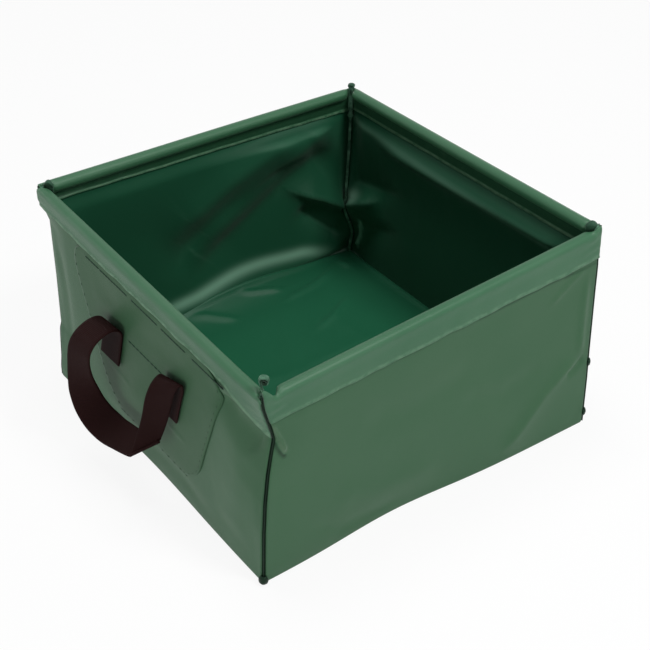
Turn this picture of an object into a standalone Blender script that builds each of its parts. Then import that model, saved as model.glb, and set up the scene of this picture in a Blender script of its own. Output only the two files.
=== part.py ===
# Folding camp wash basin of coated fabric: a square tub with a stiffened rim
# and a webbing handle on each of two opposite walls.
#
# Frame: metres, +Z up. The origin is on the ground under the middle of the
# tub. The handles are on the left (-X) and right (+X) walls. Every wall piece
# is drawn in a frame of its own: x runs inward from the face of the rim, y
# runs along the wall and z runs up.

import math

import bmesh
import bpy
from mathutils import Matrix, Vector

# Tub, measured over the faces of the rim sleeves.
BASIN_WIDTH = 0.300
BASIN_DEPTH = 0.300
BASIN_HEIGHT = 0.178

# Coated fabric, and the gap kept between pieces that touch.
FABRIC = 0.0009
CLEARANCE = 0.0003
FOLD_RADIUS = 0.006

# Rim: a folded sleeve sewn over the top edge of each wall, with a rod in it.
ROD_DIAMETER = 0.007
SLEEVE_HEIGHT = 0.023
WALL_LAP = 0.011
SLEEVE_WRAP = math.radians(60.0)

# Seam allowance turned inward at each corner, with its end above the rim.
SEAM_WIDTH = 0.0078
SEAM_RISE = 0.0045

# Reinforcing patch behind each handle, wider at its top than at its foot.
PATCH_TOP_LENGTH = 0.208
PATCH_FOOT_LENGTH = 0.124
PATCH_LOW = 0.030
PATCH_GAP = 0.002
PATCH_CORNER = 0.014

# Webbing handle: two ends sewn flat on the patch, and the loop between them.
STRAP_WIDTH = 0.0254
STRAP_THICKNESS = 0.0016
STRAP_SPACING = 0.082
HANDLE_SHIFT = 0.0045
SEWN_LOW = 0.0815
SEWN_LENGTH = 0.038
BEND_RADIUS = 0.0034
LOOP_REACH = 0.025
LOOP_DROP = 0.0825
LOOP_TILT = math.radians(46.0)
LOOP_STEPS = 3

# Places that follow from the sizes above.
SLEEVE_LOW = BASIN_HEIGHT - SLEEVE_HEIGHT
WALL_FACE = FABRIC + CLEARANCE
MITRE = math.sqrt(2.0) * (FABRIC + CLEARANCE)
ROD_RADIUS = ROD_DIAMETER / 2.0
WRAP_RADIUS = ROD_RADIUS + CLEARANCE + FABRIC / 2.0
ROD_INSET = FABRIC + CLEARANCE + ROD_RADIUS
ROD_HEIGHT = BASIN_HEIGHT - FABRIC - CLEARANCE - ROD_RADIUS
PATCH_TOP = SLEEVE_LOW - PATCH_GAP
PATCH_FACE = WALL_FACE - CLEARANCE - FABRIC
SEWN_TOP = SEWN_LOW + SEWN_LENGTH
STRAP_INSET = PATCH_FACE - CLEARANCE - STRAP_THICKNESS / 2.0
STUB_END = STRAP_INSET - BEND_RADIUS
HINGE_INSET = STUB_END - CLEARANCE - STRAP_THICKNESS / 2.0
HINGE_HEIGHT = SEWN_TOP + BEND_RADIUS

GREEN = (0.060, 0.130, 0.080, 1.0)
DARK_GREEN = (0.012, 0.070, 0.036, 1.0)
BROWN = (0.020, 0.011, 0.011, 1.0)
ROD_GREY = (0.55, 0.55, 0.53, 1.0)


def clear_scene():
    for old in list(bpy.data.objects):
        bpy.data.objects.remove(old, do_unlink=True)


def material(name, colour, roughness, metallic):
    made = bpy.data.materials.get(name)
    if made is None:
        made = bpy.data.materials.new(name)
        made.use_nodes = True
        shader = made.node_tree.nodes["Principled BSDF"]
        shader.inputs["Base Color"].default_value = colour
        shader.inputs["Roughness"].default_value = roughness
        shader.inputs["Metallic"].default_value = metallic
        made.diffuse_color = colour
    return made


def collection(name):
    made = bpy.data.collections.new(name)
    bpy.context.scene.collection.children.link(made)
    return made


def arc(centre, radius, start, end, steps):
    points = []
    for i in range(steps + 1):
        angle = start + (end - start) * i / steps
        x = centre[0] + radius * math.cos(angle)
        y = centre[1] + radius * math.sin(angle)
        points.append((x, y))
    return points


def thick_outline(path, thickness):
    """Closed outline of a strip of cloth that follows an open path."""
    left = []
    right = []
    for i, point in enumerate(path):
        here = Vector(point)
        before = Vector(path[max(i - 1, 0)])
        after = Vector(path[min(i + 1, len(path) - 1)])
        into = (here - before).normalized() if i > 0 else (after - here).normalized()
        away = (after - here).normalized() if i < len(path) - 1 else into
        along = (into + away).normalized()
        side = Vector((-along.y, along.x))
        reach = thickness / 2.0 / max(side.dot(Vector((-into.y, into.x))), 0.5)
        left.append(here + side * reach)
        right.append(here - side * reach)
    return [(p.x, p.y) for p in left + right[::-1]]


def rounded_outline(corners, radius, steps):
    """Closed outline through the given corners, each rounded to the same radius."""
    outline = []
    for i, corner in enumerate(corners):
        here = Vector(corner)
        back = (Vector(corners[i - 1]) - here).normalized()
        ahead = (Vector(corners[(i + 1) % len(corners)]) - here).normalized()
        half_angle = back.angle(ahead) / 2.0
        middle = (back + ahead).normalized()
        centre = here + middle * (radius / math.sin(half_angle))
        first = here + back * (radius / math.tan(half_angle)) - centre
        last = here + ahead * (radius / math.tan(half_angle)) - centre
        start = math.atan2(first.y, first.x)
        sweep = first.angle(last)
        outline += arc(centre, radius, start, start + sweep, steps)
    return outline


def outline_mesh(name, outline, depth):
    """Flat outline in XY, extruded evenly both ways along Z, as a closed mesh."""
    curve = bpy.data.curves.new(name, "CURVE")
    curve.dimensions = "2D"
    curve.fill_mode = "BOTH"
    curve.extrude = depth / 2.0
    spline = curve.splines.new("POLY")
    spline.points.add(len(outline) - 1)
    for point, (x, y) in zip(spline.points, outline):
        point.co = (x, y, 0.0, 1.0)
    spline.use_cyclic_u = True
    source = bpy.data.objects.new(name + "_outline", curve)
    bpy.context.scene.collection.objects.link(source)
    bpy.context.view_layer.update()
    evaluated = source.evaluated_get(bpy.context.evaluated_depsgraph_get())
    mesh = bpy.data.meshes.new_from_object(evaluated)
    bpy.data.objects.remove(source, do_unlink=True)
    bpy.data.curves.remove(curve)
    mesh.name = name
    work = bmesh.new()
    work.from_mesh(mesh)
    bmesh.ops.remove_doubles(work, verts=work.verts, dist=0.00001)
    bmesh.ops.recalc_face_normals(work, faces=work.faces)
    work.to_mesh(mesh)
    work.free()
    return mesh


def stand_up(mesh):
    """Turn an outline drawn in XY so that its Y points up and its depth runs along Y."""
    mesh.transform(Matrix.Rotation(math.pi / 2.0, 4, "X"))


def mitre_ends(mesh, length):
    """Cut both ends at 45 degrees, so that walls meet along the corner's diagonal."""
    for vertex in mesh.vertices:
        side = 1.0 if vertex.co.y > 0.0 else -1.0
        vertex.co.y = side * (length / 2.0 - vertex.co.x - MITRE)


def add_object(name, mesh, look, home, location, turn, smooth=True):
    made = bpy.data.objects.new(name, mesh)
    home.objects.link(made)
    made.location = location
    made.rotation_euler = (0.0, 0.0, turn)
    mesh.materials.append(look)
    if smooth:
        mesh.shade_smooth()
        mesh.set_sharp_from_angle(angle=math.radians(35.0))
    return made


def wall_frames():
    """Name, length, place and turn of each wall's own frame."""
    half_x = BASIN_WIDTH / 2.0
    half_y = BASIN_DEPTH / 2.0
    return (
        ("left", BASIN_DEPTH, (-half_x, 0.0, 0.0), 0.0),
        ("right", BASIN_DEPTH, (half_x, 0.0, 0.0), math.pi),
        ("front", BASIN_WIDTH, (0.0, -half_y, 0.0), math.pi / 2.0),
        ("back", BASIN_WIDTH, (0.0, half_y, 0.0), -math.pi / 2.0),
    )


def wall_panel(side, length, place, turn, home):
    """Sheet of coated fabric: straight wall with its foot turned in to the floor."""
    middle = WALL_FACE + FABRIC / 2.0
    fold = FOLD_RADIUS - FABRIC / 2.0
    path = [(middle, SLEEVE_LOW + WALL_LAP)]
    path += arc((WALL_FACE + FOLD_RADIUS, FOLD_RADIUS), fold, math.pi, 1.5 * math.pi, 8)
    mesh = outline_mesh("wall_" + side, thick_outline(path, FABRIC), length)
    stand_up(mesh)
    mitre_ends(mesh, length)
    look = material("coated_fabric_" + side, GREEN, 0.42, 0.0)
    return add_object("wall_" + side, mesh, look, home, place, turn)


def rim_sleeve(side, length, place, turn, home):
    """Folded band: up the outside, over the rod, back under it and down inside."""
    inside = WALL_FACE + FABRIC + CLEARANCE + FABRIC / 2.0
    centre = (ROD_INSET, ROD_HEIGHT)
    path = [(FABRIC / 2.0, SLEEVE_LOW)]
    path += arc(centre, WRAP_RADIUS, math.pi, -SLEEVE_WRAP, 20)
    last = path[-1]
    slope = math.cos(SLEEVE_WRAP) / math.sin(SLEEVE_WRAP)
    path.append((inside, last[1] - (last[0] - inside) * slope))
    path.append((inside, SLEEVE_LOW))
    mesh = outline_mesh("rim_sleeve_" + side, thick_outline(path, FABRIC), length)
    stand_up(mesh)
    mitre_ends(mesh, length)
    look = material("rim_fabric_" + side, GREEN, 0.40, 0.0)
    return add_object("rim_sleeve_" + side, mesh, look, home, place, turn)


def rim_rod(side, length, place, turn, home):
    """Round rod that lies loose in its sleeve, with eased ends."""
    reach = length - 2.0 * (ROD_INSET + ROD_RADIUS + MITRE + CLEARANCE)
    bpy.ops.mesh.primitive_cylinder_add(vertices=24, radius=ROD_RADIUS, depth=reach)
    rod = bpy.context.active_object
    for old in list(rod.users_collection):
        old.objects.unlink(rod)
    home.objects.link(rod)
    rod.name = "rim_rod_" + side
    mesh = rod.data
    mesh.transform(Matrix.Rotation(math.pi / 2.0, 4, "X"))
    mesh.transform(Matrix.Translation((ROD_INSET, 0.0, ROD_HEIGHT)))
    mesh.materials.append(material("rod_" + side, ROD_GREY, 0.35, 0.0))
    mesh.shade_smooth()
    mesh.set_sharp_from_angle(angle=math.radians(35.0))
    eased = rod.modifiers.new("eased_ends", "BEVEL")
    eased.width = ROD_DIAMETER * 0.12
    eased.segments = 2
    eased.limit_method = "ANGLE"
    eased.angle_limit = math.radians(60.0)
    rod.location = place
    rod.rotation_euler = (0.0, 0.0, turn)
    return rod


def corner_seam(name, sign_x, sign_y, home):
    """Two layers of fabric turned inward along the corner's diagonal."""
    outer = FABRIC
    inner = outer + SEAM_WIDTH
    low = 2.0 * CLEARANCE
    high = BASIN_HEIGHT + SEAM_RISE
    foot = min(FOLD_RADIUS, SEAM_WIDTH / 2.0)
    tip = SEAM_WIDTH / 4.0
    outline = arc((outer + foot, low + foot), foot, math.pi, 1.5 * math.pi, 5)
    outline.append((inner, low))
    outline += arc((inner - tip, high - tip), tip, 0.0, 0.5 * math.pi, 4)
    outline += arc((outer + tip, high - tip), tip, 0.5 * math.pi, math.pi, 4)
    mesh = outline_mesh("corner_seam_" + name, outline, 2.0 * FABRIC)
    stand_up(mesh)
    place = (sign_x * BASIN_WIDTH / 2.0, sign_y * BASIN_DEPTH / 2.0, 0.0)
    turn = math.atan2(-sign_y, -sign_x)
    look = material("seam_fabric_" + name, DARK_GREEN, 0.5, 0.0)
    return add_object("corner_seam_" + name, mesh, look, home, place, turn)


def floor_panel(home):
    """Flat sheet of the floor, whose edges meet the turned feet of the walls."""
    inset = WALL_FACE + FOLD_RADIUS + CLEARANCE
    half_x = BASIN_WIDTH / 2.0 - inset
    half_y = BASIN_DEPTH / 2.0 - inset
    corners = ((half_x, half_y), (-half_x, half_y), (-half_x, -half_y), (half_x, -half_y))
    outline = rounded_outline(corners, FOLD_RADIUS / 2.0, 5)
    mesh = outline_mesh("floor_panel", outline, FABRIC)
    look = material("floor_fabric", DARK_GREEN, 0.32, 0.0)
    return add_object("floor_panel", mesh, look, home, (0.0, 0.0, FABRIC / 2.0), 0.0)


def handle_patch(side, place, turn, home):
    """Second layer of fabric with rounded corners, sewn on outside the wall."""
    top = PATCH_TOP_LENGTH / 2.0
    foot = PATCH_FOOT_LENGTH / 2.0
    corners = ((top, PATCH_TOP), (-top, PATCH_TOP), (-foot, PATCH_LOW), (foot, PATCH_LOW))
    outline = rounded_outline(corners, PATCH_CORNER, 6)
    mesh = outline_mesh("handle_patch_" + side, outline, FABRIC)
    stand_up(mesh)
    mesh.transform(Matrix.Rotation(math.pi / 2.0, 4, "Z"))
    mesh.transform(Matrix.Translation((PATCH_FACE + FABRIC / 2.0, 0.0, 0.0)))
    look = material("patch_fabric_" + side, GREEN, 0.42, 0.0)
    return add_object("handle_patch_" + side, mesh, look, home, place, turn)


def sewn_end(side, end, offset, place, turn, home):
    """Strap end that lies flat on the patch and bends outward at its top."""
    path = [(STRAP_INSET, SEWN_LOW)]
    path += arc((STRAP_INSET - BEND_RADIUS, SEWN_TOP), BEND_RADIUS, 0.0, math.pi / 2.0, 8)
    name = "strap_end_" + side + "_" + end
    mesh = outline_mesh(name, thick_outline(path, STRAP_THICKNESS), STRAP_WIDTH)
    stand_up(mesh)
    mesh.transform(Matrix.Translation((0.0, offset, 0.0)))
    look = material("webbing_" + side + "_" + end, BROWN, 0.85, 0.0)
    return add_object(name, mesh, look, home, place, turn)


def spline_point(before, start, end, after, share):
    """Point on a smooth curve through start and end, a share of the way along."""
    square = share * share
    cube = square * share
    made = []
    for a, b, c, d in zip(before, start, end, after):
        value = 2.0 * b + (c - a) * share
        value += (2.0 * a - 5.0 * b + 4.0 * c - d) * square
        value += (3.0 * b - a - 3.0 * c + d) * cube
        made.append(value / 2.0)
    return made


def loop_stations():
    """Middle line of the whole loop and its width direction, about the hinge."""
    # Shares of the reach, of half the spacing and of the drop, then the turn of
    # the strap's width from along the wall towards down and outward.
    knots = [
        (0.00, 1.00, 0.000, 0.0),
        (0.26, 1.00, 0.004, 0.0),
        (0.58, 1.00, 0.040, 0.0),
        (0.84, 1.00, 0.120, 0.0),
        (0.96, 1.01, 0.240, 2.0),
        (0.98, 1.03, 0.400, 7.0),
        (0.95, 1.06, 0.560, 16.0),
        (0.88, 1.08, 0.720, 32.0),
        (0.79, 1.01, 0.870, 52.0),
        (0.71, 0.79, 0.970, 70.0),
        (0.65, 0.45, 1.000, 83.0),
        (0.62, 0.08, 0.985, 92.0),
        (0.61, -0.28, 0.930, 102.0),
        (0.61, -0.60, 0.820, 118.0),
        (0.59, -0.82, 0.660, 138.0),
        (0.56, -0.93, 0.480, 157.0),
        (0.50, -0.98, 0.300, 170.0),
        (0.42, -1.00, 0.150, 177.0),
        (0.30, -1.00, 0.060, 180.0),
        (0.14, -1.00, 0.012, 180.0),
        (0.00, -1.00, 0.000, 180.0),
    ]
    first = [2.0 * a - b for a, b in zip(knots[0], knots[1])]
    last = [2.0 * a - b for a, b in zip(knots[-1], knots[-2])]
    knots = [first] + knots + [last]
    stations = []
    for i in range(1, len(knots) - 2):
        for k in range(LOOP_STEPS):
            share = k / LOOP_STEPS
            stations.append(spline_point(*knots[i - 1:i + 3], share))
    stations.append(list(knots[-2]))
    made = []
    for out, along, down, degrees in stations:
        turn = math.radians(degrees)
        middle = Vector((-out * LOOP_REACH, along * STRAP_SPACING / 2.0, -down * LOOP_DROP))
        lower = Vector((-math.sin(LOOP_TILT), 0.0, -math.cos(LOOP_TILT)))
        across = Vector((0.0, 1.0, 0.0)) * math.cos(turn) + lower * math.sin(turn)
        made.append((middle, across))
    return made


def strap_section(middle, across, face, half_width, half_thickness):
    """Ring of six points round the strap, three on each face."""
    ring = []
    for share in (-1.0, 0.0, 1.0):
        ring.append(middle + across * half_width * share + face * half_thickness)
    for share in (1.0, 0.0, -1.0):
        ring.append(middle + across * half_width * share - face * half_thickness)
    return ring


def handle_loop(side, place, turn, home):
    """Loop of webbing that hangs from the two sewn ends; its origin is the hinge."""
    stations = loop_stations()
    half_width = STRAP_WIDTH / 2.0
    half = STRAP_THICKNESS / 2.0
    rings = []
    for i, (middle, across) in enumerate(stations):
        before = stations[max(i - 1, 0)][0]
        after = stations[min(i + 1, len(stations) - 1)][0]
        along = (after - before).normalized()
        face = along.cross(across).normalized()
        flat = face.cross(along).normalized()
        at_end = i == 0 or i == len(stations) - 1
        if at_end:
            back = Vector((1.0, 0.0, 0.0))
            rounded = []
            for step in range(1, 5):
                angle = math.radians(20.0 * step)
                shifted = middle + back * half * math.cos(angle)
                thin = half * math.sin(angle)
                rounded.append(strap_section(shifted, flat, face, half_width, thin))
            if i == 0:
                rings += rounded
            rings.append(strap_section(middle, flat, face, half_width, half))
            if i > 0:
                rings += rounded[::-1]
        else:
            rings.append(strap_section(middle, flat, face, half_width, half))
    work = bmesh.new()
    rows = [[work.verts.new(point) for point in ring] for ring in rings]
    for row, following in zip(rows, rows[1:]):
        for k in range(6):
            n = (k + 1) % 6
            work.faces.new((row[k], row[n], following[n], following[k]))
    work.faces.new(rows[0][::-1])
    work.faces.new(rows[-1])
    bmesh.ops.recalc_face_normals(work, faces=work.faces)
    mesh = bpy.data.meshes.new("handle_loop_" + side)
    work.to_mesh(mesh)
    work.free()
    look = material("webbing_loop_" + side, BROWN, 0.85, 0.0)
    hinge = Matrix.Rotation(turn, 4, "Z") @ Vector((HINGE_INSET, HANDLE_SHIFT, HINGE_HEIGHT))
    return add_object("handle_loop_" + side, mesh, look, home, Vector(place) + hinge, turn)


def build():
    clear_scene()
    home = collection("folding_wash_basin")
    frames = wall_frames()
    for side, length, place, turn in frames:
        wall_panel(side, length, place, turn, home)
        rim_sleeve(side, length, place, turn, home)
        rim_rod(side, length, place, turn, home)
    corners = (
        ("front_left", -1.0, -1.0),
        ("front_right", 1.0, -1.0),
        ("back_left", -1.0, 1.0),
        ("back_right", 1.0, 1.0),
    )
    for name, sign_x, sign_y in corners:
        corner_seam(name, sign_x, sign_y, home)
    floor_panel(home)
    for side, length, place, turn in frames[:2]:
        handle_patch(side, place, turn, home)
        first = HANDLE_SHIFT - STRAP_SPACING / 2.0
        second = HANDLE_SHIFT + STRAP_SPACING / 2.0
        sewn_end(side, "a", first, place, turn, home)
        sewn_end(side, "b", second, place, turn, home)
        handle_loop(side, place, turn, home)


build()
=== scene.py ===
import math

import bmesh
import bpy
import numpy as np
from mathutils import Matrix, Vector


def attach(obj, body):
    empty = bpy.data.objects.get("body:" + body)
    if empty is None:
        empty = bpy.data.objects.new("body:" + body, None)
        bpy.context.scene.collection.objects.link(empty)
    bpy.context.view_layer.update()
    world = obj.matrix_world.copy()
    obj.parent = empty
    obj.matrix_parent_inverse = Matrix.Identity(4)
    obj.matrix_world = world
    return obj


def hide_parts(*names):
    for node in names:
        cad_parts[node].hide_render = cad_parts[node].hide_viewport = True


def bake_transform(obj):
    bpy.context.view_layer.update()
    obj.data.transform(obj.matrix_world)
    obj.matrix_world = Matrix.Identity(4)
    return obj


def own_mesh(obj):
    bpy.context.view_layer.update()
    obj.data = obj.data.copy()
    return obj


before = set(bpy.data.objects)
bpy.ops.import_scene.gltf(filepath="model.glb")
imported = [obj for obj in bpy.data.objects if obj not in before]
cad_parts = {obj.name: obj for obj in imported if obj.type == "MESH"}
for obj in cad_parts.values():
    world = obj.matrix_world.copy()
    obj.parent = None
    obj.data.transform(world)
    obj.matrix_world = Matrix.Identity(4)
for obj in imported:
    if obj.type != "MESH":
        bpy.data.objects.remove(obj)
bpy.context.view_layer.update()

scene = bpy.context.scene
scene.view_settings.view_transform = "Standard"

# ---------------------------------------------------------------- studio
# A plain pale floor and six soft lamps: one overhead, one high in front and four
# low ones around the tub, so that its inner walls lie in shade. The camera stands
# in front of the corner between the left and front walls.

GROUND_HALF = 6.0
GROUND_DROP = 0.0005
GROUND_GREY = (0.86, 0.86, 0.86, 1.0)
WHITE = (1.0, 1.0, 1.0, 1.0)
SEEN_WHITE = 0.90
AIR = (0.97, 0.99, 1.0, 1.0)
AIR_STRENGTH = 0.22
# Each lamp's place and aim in metres, its width and depth, and its power in watts.
LAMPS = {
    "overhead": ((-0.08, 0.20, 1.60), (0.0, 0.0, 0.10), 0.55, 0.55, 10.0),
    "high_front": ((0.30, -0.95, 1.50), (0.0, 0.10, 0.08), 0.32, 0.32, 15.5),
    "low_left": ((-1.90, -0.30, 0.22), (0.0, 0.0, 0.12), 1.5, 0.28, 11.5),
    "low_front": ((0.05, -1.90, 0.25), (0.0, 0.0, 0.12), 1.5, 0.24, 7.8),
    "low_right": ((1.90, 0.30, 0.14), (0.0, 0.0, 0.12), 1.5, 0.24, 8.0),
    "low_back": ((-0.40, 1.90, 0.14), (0.0, 0.0, 0.12), 1.5, 0.24, 8.0),
}
CAMERA_PLACE = (-0.505230, -0.701900, 0.728110)
CAMERA_EASTWARD = math.radians(36.3119)
CAMERA_DOWNWARD = math.radians(37.1795)
CAMERA_ROLL = math.radians(-0.2468)
LENS = 76.874
SENSOR = 36.0
CLIP_START = 0.01


def put_in_scene(name, data):
    """A new object of the scene around a mesh, a curve, a lamp or a camera."""
    made = bpy.data.objects.new(name, data)
    scene.collection.objects.link(made)
    return made


def feed(node, inputs):
    """Sets a node's inputs, each to a value or to the socket that feeds it."""
    for socket, value in inputs.items():
        if isinstance(value, bpy.types.NodeSocket):
            node.id_data.links.new(value, node.inputs[socket])
        else:
            node.inputs[socket].default_value = value


def add_node(tree, kind, inputs=None, **settings):
    """A new node with its settings, then its inputs."""
    made = tree.nodes.new(kind)
    for name, value in settings.items():
        setattr(made, name, value)
    feed(made, inputs or {})
    return made


def worked_out(tree, operation, *values, clamp=False):
    """The result of a Math node on values or sockets."""
    return add_node(tree, "ShaderNodeMath", dict(enumerate(values)), operation=operation, use_clamp=clamp).outputs[0]


def new_material(name, finish):
    """A new material, its node tree and its shader with the finish's plain values."""
    made = bpy.data.materials.new(name)
    made.use_nodes = True
    shader = made.node_tree.nodes["Principled BSDF"]
    feed(shader, finish)
    return made, made.node_tree, shader


def seen_by_camera(tree):
    """1 where the camera sees a surface, straight, through glass or in a gloss."""
    seen = add_node(tree, "ShaderNodeLightPath").outputs
    either = worked_out(tree, "MAXIMUM", seen["Is Camera Ray"], seen["Is Transmission Ray"])
    return worked_out(tree, "MAXIMUM", either, seen["Is Glossy Ray"])


ground_mesh = bpy.data.meshes.new("studio_floor")
corners = [(x * GROUND_HALF, y * GROUND_HALF, 0) for x, y in ((-1, -1), (1, -1), (1, 1), (-1, 1))]
ground_mesh.from_pydata(corners, [], [(0, 1, 2, 3)])
studio_floor = put_in_scene("studio_floor", ground_mesh)
studio_floor.location.z = -GROUND_DROP

pale, tree, paper = new_material("pale_floor", {"Base Color": GROUND_GREY, "Roughness": 0.9, "Specular IOR Level": 0.1})
white = add_node(tree, "ShaderNodeEmission", {"Color": WHITE, "Strength": 1.0}).outputs["Emission"]
share = worked_out(tree, "MULTIPLY", seen_by_camera(tree), SEEN_WHITE)
lit = add_node(tree, "ShaderNodeMixShader", {"Fac": share, 1: paper.outputs["BSDF"], 2: white})
feed(tree.nodes["Material Output"], {"Surface": lit.outputs["Shader"]})
ground_mesh.materials.append(pale)

world = bpy.data.worlds.new("studio")
scene.world = world
world.use_nodes = True
tree = world.node_tree
tree.nodes.clear()
around = add_node(tree, "ShaderNodeBackground", {"Color": AIR, "Strength": AIR_STRENGTH}).outputs[0]
behind = add_node(tree, "ShaderNodeBackground", {"Color": WHITE, "Strength": 1.0}).outputs[0]
both = add_node(tree, "ShaderNodeMixShader", {"Fac": seen_by_camera(tree), 1: around, 2: behind})
add_node(tree, "ShaderNodeOutputWorld", {"Surface": both.outputs[0]})

for name, (place, aim, width, depth, power) in LAMPS.items():
    lamp = bpy.data.lights.new(name, "AREA")
    lamp.shape = "RECTANGLE"
    lamp.size, lamp.size_y, lamp.energy = width, depth, power
    holder = put_in_scene(name, lamp)
    holder.location = place
    holder.rotation_euler = (Vector(aim) - Vector(place)).to_track_quat("-Z", "Y").to_euler()

ahead = Vector((
    math.sin(CAMERA_EASTWARD) * math.cos(CAMERA_DOWNWARD),
    math.cos(CAMERA_EASTWARD) * math.cos(CAMERA_DOWNWARD),
    -math.sin(CAMERA_DOWNWARD),
))
level = Vector((math.cos(CAMERA_EASTWARD), -math.sin(CAMERA_EASTWARD), 0.0))
upright = level.cross(ahead)
right = level * math.cos(CAMERA_ROLL) + upright * math.sin(CAMERA_ROLL)
up = -level * math.sin(CAMERA_ROLL) + upright * math.cos(CAMERA_ROLL)
camera_data = bpy.data.cameras.new("photo_side")
camera_data.lens = LENS
camera_data.sensor_width = SENSOR
camera_data.clip_start = CLIP_START
camera = put_in_scene("photo_side", camera_data)
turned = Matrix((right, up, -ahead)).transposed().to_4x4()
turned.translation = Vector(CAMERA_PLACE)
camera.matrix_world = turned
scene.camera = camera

# ------------------------------------------------------------- tub walls
# Four walls of dark green coated polyester, 0.9 mm thick, each with its foot
# turned in to the floor and its two ends turned in at the corner seams. The
# sheet is limp, so it carries the creases left by folding the tub flat.

# Lengths are in mm until a piece's mesh is made, in metres.
MM = 0.001
TUB = 300.0
HALF = TUB / 2.0
RIM = 178.0
HEM_LINE = 155.0
WALL_TOP = 166.5
CLOTH = 0.9
WALL_MIDDLE = 1.65
FOOT_RADIUS = 2.2
END_RADIUS = 0.9
TURN_OF_ENDS = math.radians(135.0)
SEAM_FACE = 0.80
# The tub as it stands, in mm from its true square. Rim and foot: how far each
# corner's has moved east, north and, at the rim, up. Lean: height, then how far
# the corner has moved there east and north; it fades over a reach along both
# walls, and its heights slope away from the corner.
STANDING = {
    (-1, -1): {
        "rim": (-0.3, -1.8, -5.5), "foot": (-0.6, 5.3), "reach": 34.0, "slope": (0.0, 0.25),
        "lean": [
            (0, 0, 0), (50, 0.6, 0), (80, 2.0, 0), (105, 5.0, 0.5), (120, 8.0, 1.0),
            (136, 11.5, 1.5), (145, 9.0, 1.5), (157, 5.0, 0.5), (168, 1.5, 0), (176, 0, 0),
        ],
    },
    (-1, 1): {
        "rim": (-0.3, 0.9, 2.9), "foot": (-4.2, -0.9), "reach": 40.0, "slope": (0.0, 0.0),
        "lean": [
            (0, 0, 0), (10, 0.2, -0.2), (20, 1.2, -1.2), (40, 2.2, -2.2), (49, 2.8, -2.8), (54, 4.0, -4.0),
            (100, 4.8, -4.8), (150, 5.0, -5.0), (158, 2.8, -2.8), (167, 0.3, -0.3), (171, 0, 0),
        ],
    },
    (1, 1): {
        "rim": (0.0, -0.9, -3.9), "foot": (1.2, 0.9), "reach": 46.0, "slope": (0.30, 0.15),
        "lean": [
            (0, 0, 0), (12, 0, -2), (24, 0.5, -5), (36, -3, -5), (44, -7, -4.5), (52, -10, -4),
            (60, -9.5, -4), (77, -7, -2.5), (100, -4, -1.5), (130, -1, -0.5), (150, 0, 0),
        ],
    },
    (1, -1): {
        "rim": (0.4, 0.7, 3.2), "foot": (3.6, -4.8), "reach": 30.0, "slope": (0.0, 0.0),
        "lean": [
            (0, 0, 0), (44, 0.4, -0.2), (70, 0.2, 0), (125, 0.3, 0), (146, 0.6, 0), (157, 0, 0), (172, 0, 0),
        ],
    },
}
# How much higher each side's rim lies at its two ends, beyond its corners' move.
RIM_TILT = {"left": (0.0, 0.0), "front": (0.0, 0.0), "back": (2.6, -1.6), "right": (-0.6, 3.0)}
# How far a wall's foot bows out or in, where along it, and over what half-width.
FRONT_BOW = (6.0, -32.0, 62.0)
BACK_BOW = (14.0, 22.0, 72.0)
LEFT_BOW = (3.6, 5.0, 85.0)
BOW_HEIGHT = 55.0
# How far the back and right walls hang in, just under the rim: from nothing to
# all over the first heights, to a tenth over the next, and to nothing at the ends.
HANG = {"back": 2.6, "right": 5.0}
HANG_BEGINS = (157.5, 146.0)
HANG_FADES = (146.0, 90.0)
HANG_ENDS = (147.0, 122.0)


def hump(value, middle, width):
    """A smooth bump of 1 at its middle."""
    return np.exp(-((value - middle) / width) ** 2)


def smooth_step(low, high, value):
    """From 0 at the low place to 1 at the high one, level at both."""
    share = np.clip((value - low) / (high - low), 0.0, 1.0)
    return share * share * (3.0 - 2.0 * share)


def settled(spot):
    """Moves places in mm from the true square tub to the tub as it stands."""
    x, y, z = spot[..., 0], spot[..., 1], spot[..., 2]
    high = np.clip(z / RIM, 0.0, 1.05)
    low = 1.0 - np.clip(z / RIM, 0.0, 1.0)
    move_x, move_y, move_z = np.zeros_like(x), np.zeros_like(x), np.zeros_like(x)
    for (sx, sy), corner in STANDING.items():
        near = np.clip(0.5 + sx * x / TUB, 0.0, 1.0) * np.clip(0.5 + sy * y / TUB, 0.0, 1.0)
        move_x = move_x + near * (high * corner["rim"][0] + low * corner["foot"][0])
        move_y = move_y + near * (high * corner["rim"][1] + low * corner["foot"][1])
        move_z = move_z + near * high * corner["rim"][2]
        in_x, in_y = np.maximum(HALF - sx * x, 0.0), np.maximum(HALF - sy * y, 0.0)
        level = z - corner["slope"][0] * in_x - corner["slope"][1] * in_y
        lean = np.array(corner["lean"], float)
        fade = np.clip(1.0 - np.hypot(in_x, in_y) / corner["reach"], 0.0, 1.0) ** 1.3
        move_x = move_x + fade * np.interp(level, lean[:, 0], lean[:, 1])
        move_y = move_y + fade * np.interp(level, lean[:, 0], lean[:, 2])
    bowed = np.exp(-z / BOW_HEIGHT)
    front = FRONT_BOW[0] * hump(x, *FRONT_BOW[1:]) * np.clip(0.5 - y / TUB, 0.0, 1.0)
    back = BACK_BOW[0] * hump(x, *BACK_BOW[1:]) * np.clip(0.5 + y / TUB, 0.0, 1.0)
    left = LEFT_BOW[0] * hump(y, *LEFT_BOW[1:]) * np.clip(0.5 - x / TUB, 0.0, 1.0)
    return np.stack([x + move_x + bowed * left, y + move_y + bowed * (front + back), z + move_z], axis=-1)


def wall_hang(side, along, height):
    """How far in mm the back and right walls hang in, just under the rim."""
    if side not in HANG:
        return 0.0 * height
    faded = 1.0 - 0.9 * smooth_step(*HANG_FADES, height)
    return HANG[side] * smooth_step(*HANG_BEGINS, height) * faded * smooth_step(*HANG_ENDS, np.abs(along))


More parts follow.
